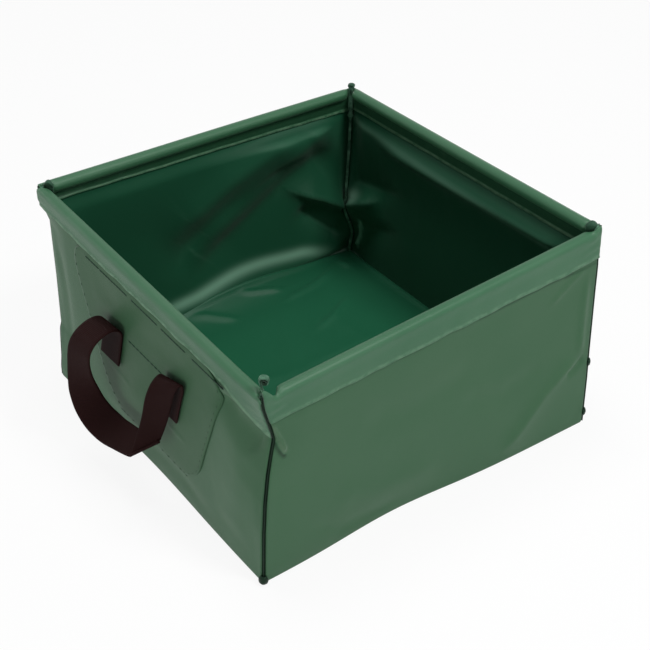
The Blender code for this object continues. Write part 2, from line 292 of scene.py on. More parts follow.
def tub_frame(side, inward, along, height):
    """A wall's own (inward, along, up) in mm, as a place in the row frame in metres."""
    inward = np.asarray(inward, float)
    along = np.asarray(along, float)
    height = np.asarray(height, float) + 0.0 * inward
    hang = wall_hang(side, along, height)
    if side == "left":
        x, y = -HALF + inward - hang, along
    elif side == "right":
        x, y = HALF - inward - hang, -along
    elif side == "front":
        x, y = -along - hang, -HALF + inward
    else:
        x, y = along, HALF - inward - hang
    tilt = RIM_TILT[side][0] + (RIM_TILT[side][1] - RIM_TILT[side][0]) * (0.5 + along / TUB)
    height = height + tilt * np.clip(height / RIM, 0.0, 1.0) ** 5
    return settled(np.stack([x, y, height], axis=-1)) * MM


def nearest_run(along, height, points):
    """How far each place lies from a line through some points: in all, along the wall
    and up; then the way of the line's nearest run, and the share of the line up to it."""
    lengths = [math.dist(a, b) for a, b in zip(points, points[1:])]
    found = None
    travelled = 0.0
    for (ax, az), (bx, bz), run in zip(points, points[1:], lengths):
        dx, dz = (bx - ax) / run, (bz - az) / run
        reach = np.clip((along - ax) * dx + (height - az) * dz, 0.0, run)
        off_x = along - (ax + dx * reach)
        off_z = height - (az + dz * reach)
        share = (travelled + reach) / sum(lengths)
        here = np.stack(np.broadcast_arrays(np.hypot(off_x, off_z), off_x, off_z, dx, dz, share))
        found = here if found is None else np.where(here[0] < found[0], here, found)
        travelled += run
    return found


def fold_line(along, height, points, width, depth, skew=0.0):
    """Crease through some points: a soft ridge across it, fading at its two ends.

    Depth is inward. With skew, the far side of the line rises the other way."""
    gap, off_x, off_z, dx, dz, share = nearest_run(along, height, points)
    beside = -off_x * dz + off_z * dx
    fade = smooth_step(0.0, 0.22, share) * smooth_step(1.0, 0.78, share)
    bell = np.exp(-((gap / width) ** 2)) * (0.15 + 0.85 * fade)
    return depth * (bell * (1.0 - skew) + skew * bell * np.tanh(beside / width * 1.6))


def ridge(along, height, points, depth, above, below, faded, crisp):
    """Sharp-crested fold through some points. Depth is inward; it falls away over
    different lengths above and below its crest, and fades over a share of each end."""
    gap, off_x, off_z, dx, dz, share = nearest_run(along, height, points)
    upward = (off_z * dx - off_x * dz) * np.where(dx > 0.0, 1.0, -1.0)
    away = np.sqrt(gap * gap + crisp * crisp) - crisp
    over = smooth_step(-3.0, 3.0, upward)
    shape = np.exp(-away / above) * over + np.exp(-away / below) * (1.0 - over)
    fade = 1.0
    if faded[0] > 0.0:
        fade = fade * smooth_step(0.0, faded[0], share)
    if faded[1] > 0.0:
        fade = fade * smooth_step(1.0, 1.0 - faded[1], share)
    return depth * (shape * fade)


def slow_waves(along, height, seed, size):
    """Low swells of a limp sheet, with waves of 45 to 160 mm."""
    longest = 160.0
    rng = np.random.default_rng(seed)
    total = np.zeros_like(along)
    for _ in range(9):
        length = rng.uniform(45.0, longest)
        angle = rng.uniform(0.0, math.pi)
        phase = rng.uniform(0.0, 2.0 * math.pi)
        travelled = along * math.cos(angle) + height * math.sin(angle)
        total += np.sin(travelled * 2 * math.pi / length + phase) * length / longest
    return size * total / 3.0


# Creases of each wall, in mm along the wall and up: points, half-width, inward
# depth and skew. Ridges: points, inward depth, reach above and below, faded ends
# and the crest's roundness.
CREASES = {
    "left": [
        ([(-100, 152), (-118, 138), (-142, 122)], 14.0, 5.5, 0.0),
        ([(-132, 104), (-116, 62), (-108, 20)], 16.0, -1.2, 0.0),
        ([(64, 77), (44, 72), (24, 69)], 2.2, -0.7, 0.2),
        ([(-26, 70), (-40, 69), (-53, 68)], 2.2, -0.7, 0.2),
        ([(128, 146), (118, 96), (122, 30)], 11.0, 2.0, 0.3),
        ([(96, 30), (40, 22), (-40, 26), (-90, 16)], 10.0, 1.2, 0.4),
        ([(70, 140), (0, 136), (-70, 140)], 12.0, 0.9, 0.2),
    ],
    "front": [
        ([(-139, 152), (-120, 142), (-102, 131)], 3.0, -1.3, 0.4),
        ([(-138, 144), (-137, 110), (-137, 68)], 4.0, -1.6, 0.2),
        ([(-143, 67), (-134, 62), (-122, 57)], 4.0, 2.6, 0.2),
        ([(70, 118), (20, 106), (-40, 116)], 18.0, 1.4, 0.4),
        ([(90, 60), (50, 40), (-10, 34)], 16.0, -1.5, 0.4),
        ([(-20, 90), (-60, 76), (-100, 84)], 14.0, 1.4, 0.5),
        ([(110, 40), (80, 18), (20, 12)], 8.0, 1.0, 0.3),
    ],
    "back": [],
    "right": [],
}
RIDGES = {
    "left": [],
    "front": [
        ([(-138, 72), (-124, 66), (-102, 50), (-83, 29), (-62, 9)], -2.8, 5.0, 12.0, (0.15, 0.2), 1.5),
    ],
    "back": [
        ([(77, 94), (110, 77), (150, 56)], 12.0, 22.0, 5.0, (0.35, 0.0), 1.2),
        ([(92, 70), (112, 48), (140, 20)], -8.0, 10.0, 6.0, (0.25, 0.2), 2.0),
        ([(134, 126), (104, 109), (68, 87), (26, 61), (-24, 31)], -11.0, 14.0, 24.0, (0.15, 0.3), 9.0),
        ([(128, 157), (85, 132), (45, 107), (0, 76), (-30, 56)], 10.0, 13.0, 16.0, (0.15, 0.3), 9.0),
        ([(100, 122), (60, 114), (20, 96), (-20, 71), (-44, 44)], -8.5, 13.0, 10.0, (0.2, 0.3), 8.0),
        ([(100, 150), (60, 142), (20, 125), (-20, 101), (-46, 77)], 8.0, 14.0, 13.0, (0.2, 0.3), 8.0),
    ],
    "right": [
        ([(-116, 140), (-60, 141), (40, 144), (124, 147)], 5.0, 9.0, 5.0, (0.2, 0.1), 1.5),
        ([(-70, 100), (-104, 88), (-150, 82)], -6.0, 14.0, 7.0, (0.5, 0.0), 2.5),
        ([(-104, 79), (-126, 70), (-150, 58)], 10.0, 5.0, 9.0, (0.4, 0.0), 1.2),
        ([(-131, 47), (-134, 30), (-138, 12)], 5.0, 3.0, 3.0, (0.3, 0.2), 0.8),
        ([(-70, 60), (-110, 44), (-150, 30)], -4.0, 8.0, 14.0, (0.5, 0.0), 2.5),
    ],
}
# The pleat beside the near corner, under the front sleeve.
PLEAT = ([(146.4, 154), (145.8, 147), (143.0, 137), (133.0, 121.5)], -2.6, 1.8, 1.8, (0.1, 0.2), 0.5)
# Where the back wall's foot stands out, the wall rounds over into the floor.
COVE = 24.0
COVE_REACH = 18.0
# The sheet is held straight at its foot, at its hem and at its two ends.
HELD_FOOT = (1.0, 12.0)
HELD_HEM = (HEM_LINE + 1.0, HEM_LINE - 9.0)
HELD_ENDS = (HALF - 4.0, HALF - 13.0)
# Behind each end of a strap the wall is held flat: middles along and up, half-sizes.
STRAP_SEATS = (45.5, -36.5)
SEAT_UP = 100.0
SEAT_HALF = (15.0, 22.0)
SEAT_FADES = 16.0
WAVE_SEEDS = {"left": 11, "front": 5, "back": 8, "right": 21}
WAVE_SIZE = 0.55


def cove_share(east):
    return hump(east, 22.0, 88.0)


def sheet_depth(side, along, height):
    """How far a wall's sheet lies inward of its straight plane, in mm."""
    depth = slow_waves(along, height, WAVE_SEEDS[side], WAVE_SIZE)
    for crease in CREASES[side]:
        depth = depth + fold_line(along, height, *crease)
    for fold in RIDGES[side]:
        depth = depth + ridge(along, height, *fold)
    if side == "back":
        depth = depth + COVE * cove_share(along) * np.exp(-height / COVE_REACH)
    held = smooth_step(*HELD_FOOT, height) * smooth_step(*HELD_HEM, height)
    held = held * smooth_step(*HELD_ENDS, np.abs(along))
    if side in ("left", "right"):
        for middle in STRAP_SEATS:
            off_along = np.maximum(np.abs(along - middle) - SEAT_HALF[0], 0.0)
            gap = np.hypot(off_along, np.maximum(np.abs(height - SEAT_UP) - SEAT_HALF[1], 0.0))
            held = held * (0.04 + 0.96 * smooth_step(0.0, SEAT_FADES, gap))
    depth = depth * held
    if side == "front":
        pleat = ridge(along, height, *PLEAT) * smooth_step(147.0, 144.0, along)
        depth = depth + pleat * smooth_step(HEM_LINE, HEM_LINE - 3.0, height)
    return depth


def mark_points(mesh, name, values):
    """Keeps one number at each point of a mesh, for its material to read."""
    mark = mesh.attributes.new(name, "FLOAT", "POINT")
    mark.data.foreach_set("value", np.asarray(values, np.float32))


def cloth_shell(name, grid, thickness, flat=None, wear_and_painted_light=None, rounded=0.4):
    """Closed thin shell on both sides of a grid of points, with its flat size as UV."""
    rows, columns = grid.shape[:2]
    count = rows * columns
    steps = np.gradient(grid, axis=0), np.gradient(grid, axis=1)
    normal = np.cross(*steps)
    normal /= np.maximum(np.linalg.norm(normal, axis=-1, keepdims=True), 1e-12)
    half = normal * thickness * MM / 2.0
    index = np.arange(count).reshape(rows, columns)
    quads = np.stack([index[:-1, :-1], index[1:, :-1], index[1:, 1:], index[:-1, 1:]], axis=-1).reshape(-1, 4)
    border = [(0, j) for j in range(columns)]
    border += [(i, columns - 1) for i in range(1, rows)]
    border += [(rows - 1, j) for j in range(columns - 2, -1, -1)]
    border += [(i, 0) for i in range(rows - 2, 0, -1)]
    edge = []
    for i, j in border:
        away = np.zeros(3)
        for place, last, step in ((i, rows - 1, steps[0][i, j]), (j, columns - 1, steps[1][i, j])):
            if place in (0, last):
                away += (1.0 if place else -1.0) * step / max(np.linalg.norm(step), 1e-12)
        edge.append(grid[i, j] + away * thickness * MM * rounded)
    points = np.concatenate([(grid + half).reshape(-1, 3), (grid - half).reshape(-1, 3), np.array(edge)])
    faces = quads.tolist() + (quads[:, ::-1] + count).tolist()
    ring = [int(index[i, j]) for i, j in border]
    for k in range(len(ring)):
        n = (k + 1) % len(ring)
        outer_a, outer_b = ring[k], ring[n]
        middle_a, middle_b = 2 * count + k, 2 * count + n
        faces.append((outer_a, outer_b, middle_b, middle_a))
        faces.append((middle_a, middle_b, outer_b + count, outer_a + count))
    mesh = bpy.data.meshes.new(name)
    mesh.from_pydata(points.tolist(), [], faces)
    mesh.validate()
    work = bmesh.new()
    work.from_mesh(mesh)
    bmesh.ops.recalc_face_normals(work, faces=work.faces)
    work.to_mesh(mesh)
    work.free()
    if flat is None:
        run_i = np.cumsum(np.linalg.norm(np.diff(grid, axis=0, prepend=grid[:1]), axis=-1), axis=0)
        run_j = np.cumsum(np.linalg.norm(np.diff(grid, axis=1, prepend=grid[:, :1]), axis=-1), axis=1)
        flat = np.stack([run_j, run_i], axis=-1)
    flat = flat.reshape(-1, 2)
    spread = np.concatenate([flat, flat, flat[ring]])
    corners = np.zeros(len(mesh.loops), int)
    mesh.loops.foreach_get("vertex_index", corners)
    layer = mesh.uv_layers.new(name="cloth")
    layer.data.foreach_set("uv", spread[corners].astype(np.float32).ravel())
    wear_and_painted_light = np.zeros(count) if wear_and_painted_light is None else wear_and_painted_light.reshape(-1)
    mark_points(mesh, "wear_and_painted_light", np.concatenate([wear_and_painted_light, wear_and_painted_light, np.maximum(wear_and_painted_light[ring], 0.6)]))
    mark_points(mesh, "inner_face", np.concatenate([np.zeros(count), np.ones(count), np.full(len(ring), 0.5)]))
    mesh.shade_smooth()
    return put_in_scene(name, mesh)


def new_group(name, kind, takes, gives):
    """A node group with its named inputs and outputs, and the nodes at its two ends."""
    made = bpy.data.node_groups.new(name, kind)
    for socket, (form, value) in takes.items():
        entry = made.interface.new_socket(name=socket, in_out="INPUT", socket_type="NodeSocket" + form)
        if value is not None:
            entry.default_value = value
    for socket, form in gives.items():
        made.interface.new_socket(name=socket, in_out="OUTPUT", socket_type="NodeSocket" + form)
    return made, add_node(made, "NodeGroupInput").outputs, add_node(made, "NodeGroupOutput")


# Grain of the coating: the threads of the base cloth show faintly through it.
grain, entry, leave = new_group(
    "coating_grain", "ShaderNodeTree", {"Flat": ("Vector", None), "Threads": ("Float", 900.0)}, {"Height": "Float"})
threads = [
    add_node(
        grain, "ShaderNodeTexWave",
        {"Distortion": 0.6, "Detail": 1.0, "Detail Scale": 0.6, "Vector": entry["Flat"], "Scale": entry["Threads"]},
        wave_type="BANDS", bands_direction=direction,
    ).outputs["Fac"]
    for direction in ("X", "Y")
]
feed(leave, {"Height": worked_out(grain, "MULTIPLY", *threads)})

# Fine wrinkles of a coated sheet that has been folded many times.
wrinkles, entry, leave = new_group(
    "fold_wrinkles", "ShaderNodeTree", {"Place": ("Vector", None), "Size": ("Float", 30.0)},
    {"Height": "Float", "Patches": "Float"})
drift = add_node(wrinkles, "ShaderNodeTexNoise", {"Scale": 9.0, "Detail": 3.0, "Vector": entry["Place"]}).outputs
shift = add_node(wrinkles, "ShaderNodeVectorMath", {"Scale": 0.06, 0: drift["Color"]}, operation="SCALE").outputs[0]
moved = add_node(wrinkles, "ShaderNodeVectorMath", {0: entry["Place"], 1: shift}, operation="ADD").outputs[0]
cells = add_node(
    wrinkles, "ShaderNodeTexVoronoi", {"Smoothness": 0.55, "Vector": moved, "Scale": entry["Size"]},
    feature="SMOOTH_F1")
soft = add_node(
    wrinkles, "ShaderNodeTexNoise", {"Detail": 5.0, "Roughness": 0.5, "Vector": moved, "Scale": entry["Size"]})
summed = worked_out(wrinkles, "MULTIPLY_ADD", cells.outputs["Distance"], 0.55, soft.outputs["Fac"])
feed(leave, {"Height": summed, "Patches": drift["Fac"]})

# Dust, rubbing and painted highlights: paler, greyer spots along edges and high folds, and pale painted highlights
# wherever the mark asks for them.
wear_dust_and_highlight, entry, leave = new_group(
    "worn_dusty_and_highlit_places", "ShaderNodeTree",
    {"Place": ("Vector", None), "WearAndPaintedLight": ("Float", 0.0), "Amount": ("Float", 0.4)}, {"Mask": "Float"})
specks = add_node(
    wear_dust_and_highlight, "ShaderNodeTexNoise", {"Scale": 160.0, "Detail": 6.0, "Roughness": 0.65, "Vector": entry["Place"]})
clouds = add_node(wear_dust_and_highlight, "ShaderNodeTexNoise", {"Scale": 14.0, "Detail": 3.0, "Vector": entry["Place"]})
spotted = add_node(
    wear_dust_and_highlight, "ShaderNodeMapRange", {"From Min": 0.35, "From Max": 0.75, "Value": specks.outputs["Fac"]})
haze = worked_out(wear_dust_and_highlight, "MULTIPLY", clouds.outputs["Fac"], 0.22)
along_edges = worked_out(wear_dust_and_highlight, "MULTIPLY_ADD", entry["WearAndPaintedLight"], spotted.outputs["Result"], haze)
feed(leave, {"Mask": worked_out(wear_dust_and_highlight, "MULTIPLY", along_edges, entry["Amount"], clamp=True)})


def mixed_colour(tree, share, first, second):
    """A colour between two, by a share from 0 to 1."""
    inputs = {"Factor": share, "A": first, "B": second}
    return add_node(tree, "ShaderNodeMix", inputs, data_type="RGBA").outputs["Result"]


def ranged(tree, share, low, high):
    """A number between two, by a share from 0 to 1."""
    return add_node(tree, "ShaderNodeMapRange", {"Value": share, "To Min": low, "To Max": high}).outputs["Result"]


def raised(tree, height, strength, distance, under=None):
    """Small relief on a surface, on top of another one where that is given."""
    inputs = {"Strength": strength, "Distance": distance, "Height": height}
    if under is not None:
        inputs["Normal"] = under
    return add_node(tree, "ShaderNodeBump", inputs).outputs["Normal"]


# Near-black green of painted shade, used where the mark is below nought.
PAINTED_SHADE = (0.005, 0.019, 0.009, 1.0)
# Pale green on the lining side, for rubbed wear and for painted highlights on the inner walls.
PALE_LINING = (0.190, 0.370, 0.260, 1.0)


def coated_cloth(name, colour, pale_colour, roughness, wear_and_highlight_amount, wrinkle_depth, wrinkle_size, gloss, inner_colour=None):
    """Satin coated cloth: its green, paler places, wrinkles and faint thread grain. The mark runs from 1, pale for
    rubbed wear and for painted highlights, to -1, near-black painted shade, as in the corner cracks and under the rods."""
    made, tree, shader = new_material(name, {"Specular IOR Level": gloss, "Sheen Weight": 0.04, "Sheen Roughness": 0.5})
    place = add_node(tree, "ShaderNodeTexCoord").outputs["Object"]
    flat = add_node(tree, "ShaderNodeUVMap", uv_map="cloth").outputs["UV"]
    mark = add_node(tree, "ShaderNodeAttribute", attribute_name="wear_and_painted_light").outputs["Fac"]
    paled = add_node(tree, "ShaderNodeGroup", {"Amount": wear_and_highlight_amount, "Place": place, "WearAndPaintedLight": mark}, node_tree=wear_dust_and_highlight)
    creased = add_node(tree, "ShaderNodeGroup", {"Size": wrinkle_size, "Place": place}, node_tree=wrinkles)
    threads = add_node(tree, "ShaderNodeGroup", {"Flat": flat}, node_tree=grain)
    tone = mixed_colour(tree, paled.outputs["Mask"], colour, pale_colour)
    if inner_colour is not None:
        facing = add_node(tree, "ShaderNodeAttribute", attribute_name="inner_face").outputs["Fac"]
        tone = mixed_colour(tree, facing, tone, mixed_colour(tree, mark, inner_colour, PALE_LINING))
    # Below nought the mark paints shade, mixing towards the near-black green.
    painted_shade_share = worked_out(tree, "MULTIPLY", mark, -1.0, clamp=True)
    folds = raised(tree, creased.outputs["Height"], 1.0, wrinkle_depth)
    feed(shader, {
        "Base Color": mixed_colour(tree, painted_shade_share, tone, PAINTED_SHADE),
        "Roughness": ranged(tree, creased.outputs["Patches"], roughness - 0.05, roughness + 0.09),
        "Normal": raised(tree, threads.outputs["Height"], 0.35, 0.00006, folds),
    })
    return made


GREEN = (0.035, 0.097, 0.048, 1.0)
PALE_GREEN = (0.090, 0.155, 0.090, 1.0)
LINING_GREEN = (0.011, 0.078, 0.038, 1.0)
wall_cloth = coated_cloth("wall_cloth", GREEN, PALE_GREEN, 0.44, 0.70, 0.0005, 24.0, 0.10, LINING_GREEN)


def worn_by_folds(depth):
    """Where a sheet is folded sharply its coating is rubbed paler."""
    beside = sum(np.roll(depth, step, axis) for axis in (0, 1) for step in (1, -1))
    bend = np.abs(depth - beside / 4.0)
    bend[0] = bend[-1] = 0.0
    bend[:, 0] = bend[:, -1] = 0.0
    return np.clip(bend / 0.25, 0.0, 1.0) * 0.6


def wall_grid(side, spacing):
    """Middle surface of a wall: straight, with a turned foot and ends turned in."""
    rows = []
    for angle in (math.pi / 2.0 * k / 7.0 for k in range(7)):
        n = WALL_MIDDLE + FOOT_RADIUS * (1.0 - math.sin(angle))
        z = CLOTH / 2.0 + FOOT_RADIUS * (1.0 - math.cos(angle))
        rows.append((n, z, math.sin(angle), math.cos(angle)))
    for z in np.linspace(CLOTH / 2.0 + FOOT_RADIUS, WALL_TOP, 84):
        rows.append((WALL_MIDDLE, z, 1.0, 0.0))
    turns = [TURN_OF_ENDS * k / 7.0 for k in range(8)]
    last_in = END_RADIUS * (1.0 - math.cos(TURN_OF_ENDS))
    last_along = END_RADIUS * math.sin(TURN_OF_ENDS)
    offsets = [END_RADIUS * (1.0 - math.cos(a)) for a in turns[1:]]
    shifts = [END_RADIUS * math.sin(a) for a in turns[1:]]
    count = int(round(2.0 * (HALF - 6.0) / spacing)) + 1
    inward = np.concatenate([offsets[::-1], np.zeros(count), offsets])
    points = []
    depths = []
    for n, z, inward_n, inward_z in rows:
        end = HALF - (n + last_in * inward_n) - last_along - SEAM_FACE * math.sqrt(2.0)
        straight = np.linspace(-end, end, count)
        along = np.concatenate([[-end - q for q in shifts[::-1]], straight, [end + q for q in shifts]])
        depth = sheet_depth(side, along, np.full_like(along, z))
        points.append(tub_frame(side, n + (inward + depth) * inward_n, along, z + inward * inward_z))
        depths.append(depth)
    return np.array(points), np.array(depths)


def near_line(grid, side, points, width):
    """How near each place of a wall is to a line drawn on it, from 0 to 1."""
    points = np.array(points, float)
    t = np.linspace(0.0, len(points) - 1.0, 60)
    places = [np.interp(t, range(len(points)), points[:, k]) for k in (0, 1)]
    line = tub_frame(side, 0.0 * t, *places)
    axes = [0, 2] if side in ("front", "back") else [1, 2]
    apart = np.linalg.norm(grid[..., None, axes] - line[:, axes], axis=-1).min(axis=-1)
    return np.exp(-(apart / (width * MM)) ** 2)


# Lines painted on the walls, pale as painted highlights on creases or dark as painted shadow: points along and up, and
# half-width.
RIGHT_CREASE_HIGHLIGHT = ([(-131, 47), (-134, 30), (-138, 12)], 1.6)
PLEAT_SHADE = ([(145.6, 133), (142.4, 128), (137.6, 122), (134.8, 119)], 1.8)
PLEAT_CREST_HIGHLIGHT = ([(149.6, 155), (147.8, 148), (144.6, 138), (140.6, 130), (134.0, 122)], 2.0)
SPACING = {"left": 2.0, "right": 2.0, "front": 1.0, "back": 2.0}
FOLD_WEAR = {"left": 0.5, "right": 0.15, "front": 0.5, "back": 0.15}
for side in ("left", "right", "front", "back"):
    grid, depth = wall_grid(side, SPACING[side])
    east, north, up = (grid[..., k] / MM for k in range(3))
    wear_and_painted_light = worn_by_folds(depth) * FOLD_WEAR[side]
    if side == "right":
        # On the right wall: a painted highlight on a lit facet, a pale painted highlight along the ridge's crest at 144
        # mm, and a painted highlight on the crease near the back corner's foot.
        facet_highlight = 0.9 * np.exp(-((north - 137.0) / 9.0) ** 2 - ((up - 70.0) / 5.0) ** 2)
        wear_and_painted_light = np.maximum(np.maximum(wear_and_painted_light, facet_highlight), 0.35 * hump(up, 144.0, 3.0))
        wear_and_painted_light = np.maximum(wear_and_painted_light, near_line(grid, side, *RIGHT_CREASE_HIGHLIGHT))
    if side == "back":
        # On the back wall, a painted highlight: a pale band where the wall rounds over into the floor.
        sheen_band_height = 20.0 + 5.0 * hump(east, 45.0, 45.0) - 9.0 * smooth_step(90.0, 135.0, east)
        faded = smooth_step(-90.0, -30.0, east) * smooth_step(136.0, 90.0, east)
        wear_and_painted_light = np.maximum(wear_and_painted_light, hump(up, sheen_band_height, 5.2) * faded)
    # The four columns at each end of a wall are painted dark, as the shadow in the corner's crack.
    wear_and_painted_light[:, :4] = wear_and_painted_light[:, -4:] = -1.0
    if side == "front":
        # On the front wall a thin painted shadow under the sleeve's edge, and beside the near corner the pleat's
        # painted shadow and a painted highlight on its crest.
        wear_and_painted_light[np.abs(up - 153.6) < 1.1] = -0.4
        wear_and_painted_light = wear_and_painted_light - 1.2 * near_line(grid, side, *PLEAT_SHADE)
        wear_and_painted_light = np.clip(wear_and_painted_light + 2.2 * near_line(grid, side, *PLEAT_CREST_HIGHLIGHT), -1.0, 1.0)
    wall = cloth_shell("tub_wall_" + side, grid, CLOTH, wear_and_painted_light=wear_and_painted_light)
    wall.data.materials.append(wall_cloth)
    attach(wall, "basin")
    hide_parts("wall_" + side)
    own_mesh(wall)

# ------------------------------------------------------------ tub floor
# One sheet of the same coated cloth, smoother and glossier on its inner face.
# Its edges are welded on top of the walls' turned feet, as a pale raised lap.

FLOOR_HALF = 147.0
GREEN_FLOOR = (0.009, 0.088, 0.041, 1.0)
PALE_FLOOR = (0.030, 0.130, 0.072, 1.0)
floor_cloth = coated_cloth("floor_cloth", GREEN_FLOOR, PALE_FLOOR, 0.38, 0.30, 0.0006, 15.0, 0.15)
# Points east and north, half-width, height and skew.
FLOOR_FOLDS = [
    ([(-120, 60), (0, 20), (120, 30)], 9.0, 1.0, 0.4),
    ([(-90, -110), (-20, -20), (60, 120)], 8.0, 0.9, 0.4),
    ([(100, 130), (70, 60), (90, -40)], 9.0, 0.9, 0.4),
    ([(18, 146), (34, 134), (62, 124)], 2.6, 3.6, 0.3),
    ([(-34, 146), (-16, 132), (8, 108)], 3.2, 3.0, 0.3),
    ([(52, 108), (88, 118), (122, 132)], 3.0, 2.4, 0.3),
    ([(48, 58), (76, 70), (104, 88)], 3.0, 2.2, 0.3),
    ([(126, 140), (128, 132), (131, 124)], 2.4, 3.0, 0.3),
]
FLOOR_SEED = 31
FLOOR_WAVES = 0.8
LAP_HEIGHT = 1.5
LAP_WIDTH = (5.2, 1.6)
# Along the back the floor rises to the wall's cove, and is drawn in by it. Beside
# the back right corner, where the wall stands further out, it is let out again.
COVE_RUN = 44.0
COVE_RISE = 14.0
COVE_DRAW = 9.5
LET_OUT = 1.6
LET_OUT_AT = (114.0, 14.0)
# A short painted highlight on a crease near that corner: middle east and north, lean, half-width, half-length.
FLOOR_CREASE_HIGHLIGHT = (128.5, 132.0, 0.31, 1.6, 7.0)

lines = np.linspace(-FLOOR_HALF, FLOOR_HALF, 118)
east, north = np.meshgrid(lines, lines, indexing="ij")
swell = slow_waves(east, north, FLOOR_SEED, FLOOR_WAVES)
for fold in FLOOR_FOLDS:
    swell = swell + fold_line(east, north, *fold)
inset = FLOOR_HALF - np.maximum(np.abs(east), np.abs(north))
lift = CLOTH / 2.0 + np.maximum(swell + 0.6, 0.0) * smooth_step(2.0, 16.0, inset)
lift = lift + LAP_HEIGHT * smooth_step(*LAP_WIDTH, inset)
rising = np.clip(1.0 - (FLOOR_HALF - north) / COVE_RUN, 0.0, 1.0)
lift = lift + COVE_RISE * cove_share(east) * rising ** 2
drawn_in = (COVE_DRAW * cove_share(east) - LET_OUT * hump(east, *LET_OUT_AT)) * rising ** 1.5
grid = settled(np.stack([east, north - drawn_in, lift], axis=-1)) * MM
# A painted highlight on a crease near the back right corner.
off_north = north - FLOOR_CREASE_HIGHLIGHT[1]
paled = np.exp(-((east - FLOOR_CREASE_HIGHLIGHT[0] + FLOOR_CREASE_HIGHLIGHT[2] * off_north) / FLOOR_CREASE_HIGHLIGHT[3]) ** 2 - (off_north / FLOOR_CREASE_HIGHLIGHT[4]) ** 4)
wear_and_painted_light = np.clip(smooth_step(6.0, 0.0, inset) + worn_by_folds(swell) + paled, 0.0, 1.0)
floor_sheet = cloth_shell("tub_floor", grid, CLOTH, wear_and_painted_light=wear_and_painted_light)
floor_sheet.data.materials.append(floor_cloth)
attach(floor_sheet, "floor")
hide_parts("floor_panel")

# ------------------------------------------------------------- rim sleeves
# A band of the same cloth folded over each wall's top edge and round the rod,
# sewn through all layers near its lower edge. Past the rod's ends the band is
# pressed flat, so the same cloth stands a few millimetres higher.

ROD_IN = 4.7
ROD_UP = 173.3
WRAP = 4.25
PRESSED_WIDE = 1.2
PRESSED_TALL = 3.4
OUTER_LAYER = 0.45
INNER_LAYER = 2.85
TUCKED = 2.6
OUTER_LOW = {"left": 163.2, "front": 155.0, "back": 155.0, "right": 155.0}
INNER_LOW = {"left": 157.0, "front": 157.0, "back": 158.2, "right": 156.5}
INNER_SLOPE = {"left": 0.0, "front": 0.0, "back": -0.020, "right": 0.0}
PRESSED_FROM = {"left": (139.0, 144.0), "front": (139.0, 133.0), "back": (139.0, 139.0), "right": (139.0, 139.0)}
# Near the back corner the twisted left sleeve's outer edge comes down: by how much
# at its end, from where, and over what length.
LEFT_TWIST = (25.0, 104.0, 44.0)
# Lengths of the waves in the band's sewn edges.
RIPPLES = (23.0, 31.0, 47.0, 64.0, 90.0, 140.0)
RIPPLE_UP = 0.35
# Steps along the band's section: its outer layer, round the rod, the tuck and its
# inner layer; and how far past upright it goes round the rod, in degrees.
OUTER_STEPS = 10
TURN_STEPS = 23
TUCK_STEPS = 3
INNER_STEPS = 8
TURN_PAST = 75.0
# Under the rod the outer layer sinks in, and both sewn edges lift off the wall:
# by how much, and over what half-width.
OUTER_SUNK = 0.32
SUNK_WIDTH = 4.5
OUTER_LIFTED = 0.70
INNER_LIFTED = 0.80
LIFT_WIDTH = 1.1
# Places along a band, close together at its pressed ends.
END_PLACES = [-149.0, -148.4, -147.6, -146.4, -145.0, -143.4, -141.6, -139.4, -137.0, -134.5]
BAND_PLACES = END_PLACES + list(np.linspace(-132.0, 132.0, 109)) + [-p for p in END_PLACES[::-1]]
# The front band dips beside its right end: by how much, where and over what
# half-width. Then both its ends rise: by how much, from where and to where.
FRONT_DIP = (1.0, 137.0, 3.0)
FRONT_RISES = {"right": (8.0, 138.0, 147.0), "left": (5.0, 139.0, 147.0)}
DIP_SEEN = (166.0, 176.0)
# A band's end is turned in over its last millimetres, and creased beside them.
LAST_PLACE = 147.0
TURNED_FROM = 146.2
TURNED_OVER = 2.8
TURNED_IN = 1.5
END_CREASE = 0.22
CREASED_AT = (140.0, 9.0)
SLEEVE_SEEDS = {"left": 3, "right": 4, "front": 6, "back": 7}
RIM_GREEN = (0.017, 0.090, 0.038, 1.0)
PALE_RIM = (0.150, 0.270, 0.170, 1.0)
rim_cloth = coated_cloth("rim_cloth", RIM_GREEN, PALE_RIM, 0.40, 0.80, 0.00030, 40.0, 0.30)


def sleeve_section(pinch, outer_low, inner_low, ripple):
    """Section of the band as (inward, up) in mm, from its outer to its inner lower edge."""
    wide = WRAP * (1.0 - pinch) + PRESSED_WIDE * pinch
    tall = WRAP * (1.0 - pinch) + PRESSED_TALL * pinch
    low = ROD_UP - WRAP
    centre_in = OUTER_LAYER + wide
    centre_up = low + tall
    section = []
    for k in range(OUTER_STEPS + 1):
        share = k / OUTER_STEPS
        z = outer_low + (centre_up - 0.5 - outer_low) * share
        sunk = OUTER_SUNK * hump(z, max(low - 1.5, outer_low + 2.4), SUNK_WIDTH) * (1.0 - pinch)
        lifted = OUTER_LIFTED * hump(z, outer_low, LIFT_WIDTH)
        section.append((OUTER_LAYER + sunk + 0.25 * ripple * (1.0 - share) - lifted, z))
    for k in range(1, TURN_STEPS + 1):
        angle = math.pi - (math.pi + math.radians(TURN_PAST)) * k / TURN_STEPS
        section.append((centre_in + wide * math.cos(angle), centre_up + tall * math.sin(angle)))
    last_in, last_up = section[-1]
    for k in range(1, TUCK_STEPS + 1):
        share = k / TUCK_STEPS
        section.append((last_in + (INNER_LAYER - last_in) * smooth_step(0.0, 1.0, share), last_up - TUCKED * share))
    last_up = section[-1][1]
    for k in range(1, INNER_STEPS + 1):
        share = k / INNER_STEPS
        z = last_up + (inner_low - last_up) * share
        lifted = INNER_LIFTED * hump(z, inner_low, LIFT_WIDTH)
        section.append((INNER_LAYER + 0.2 * ripple * share + lifted, z))
    return section


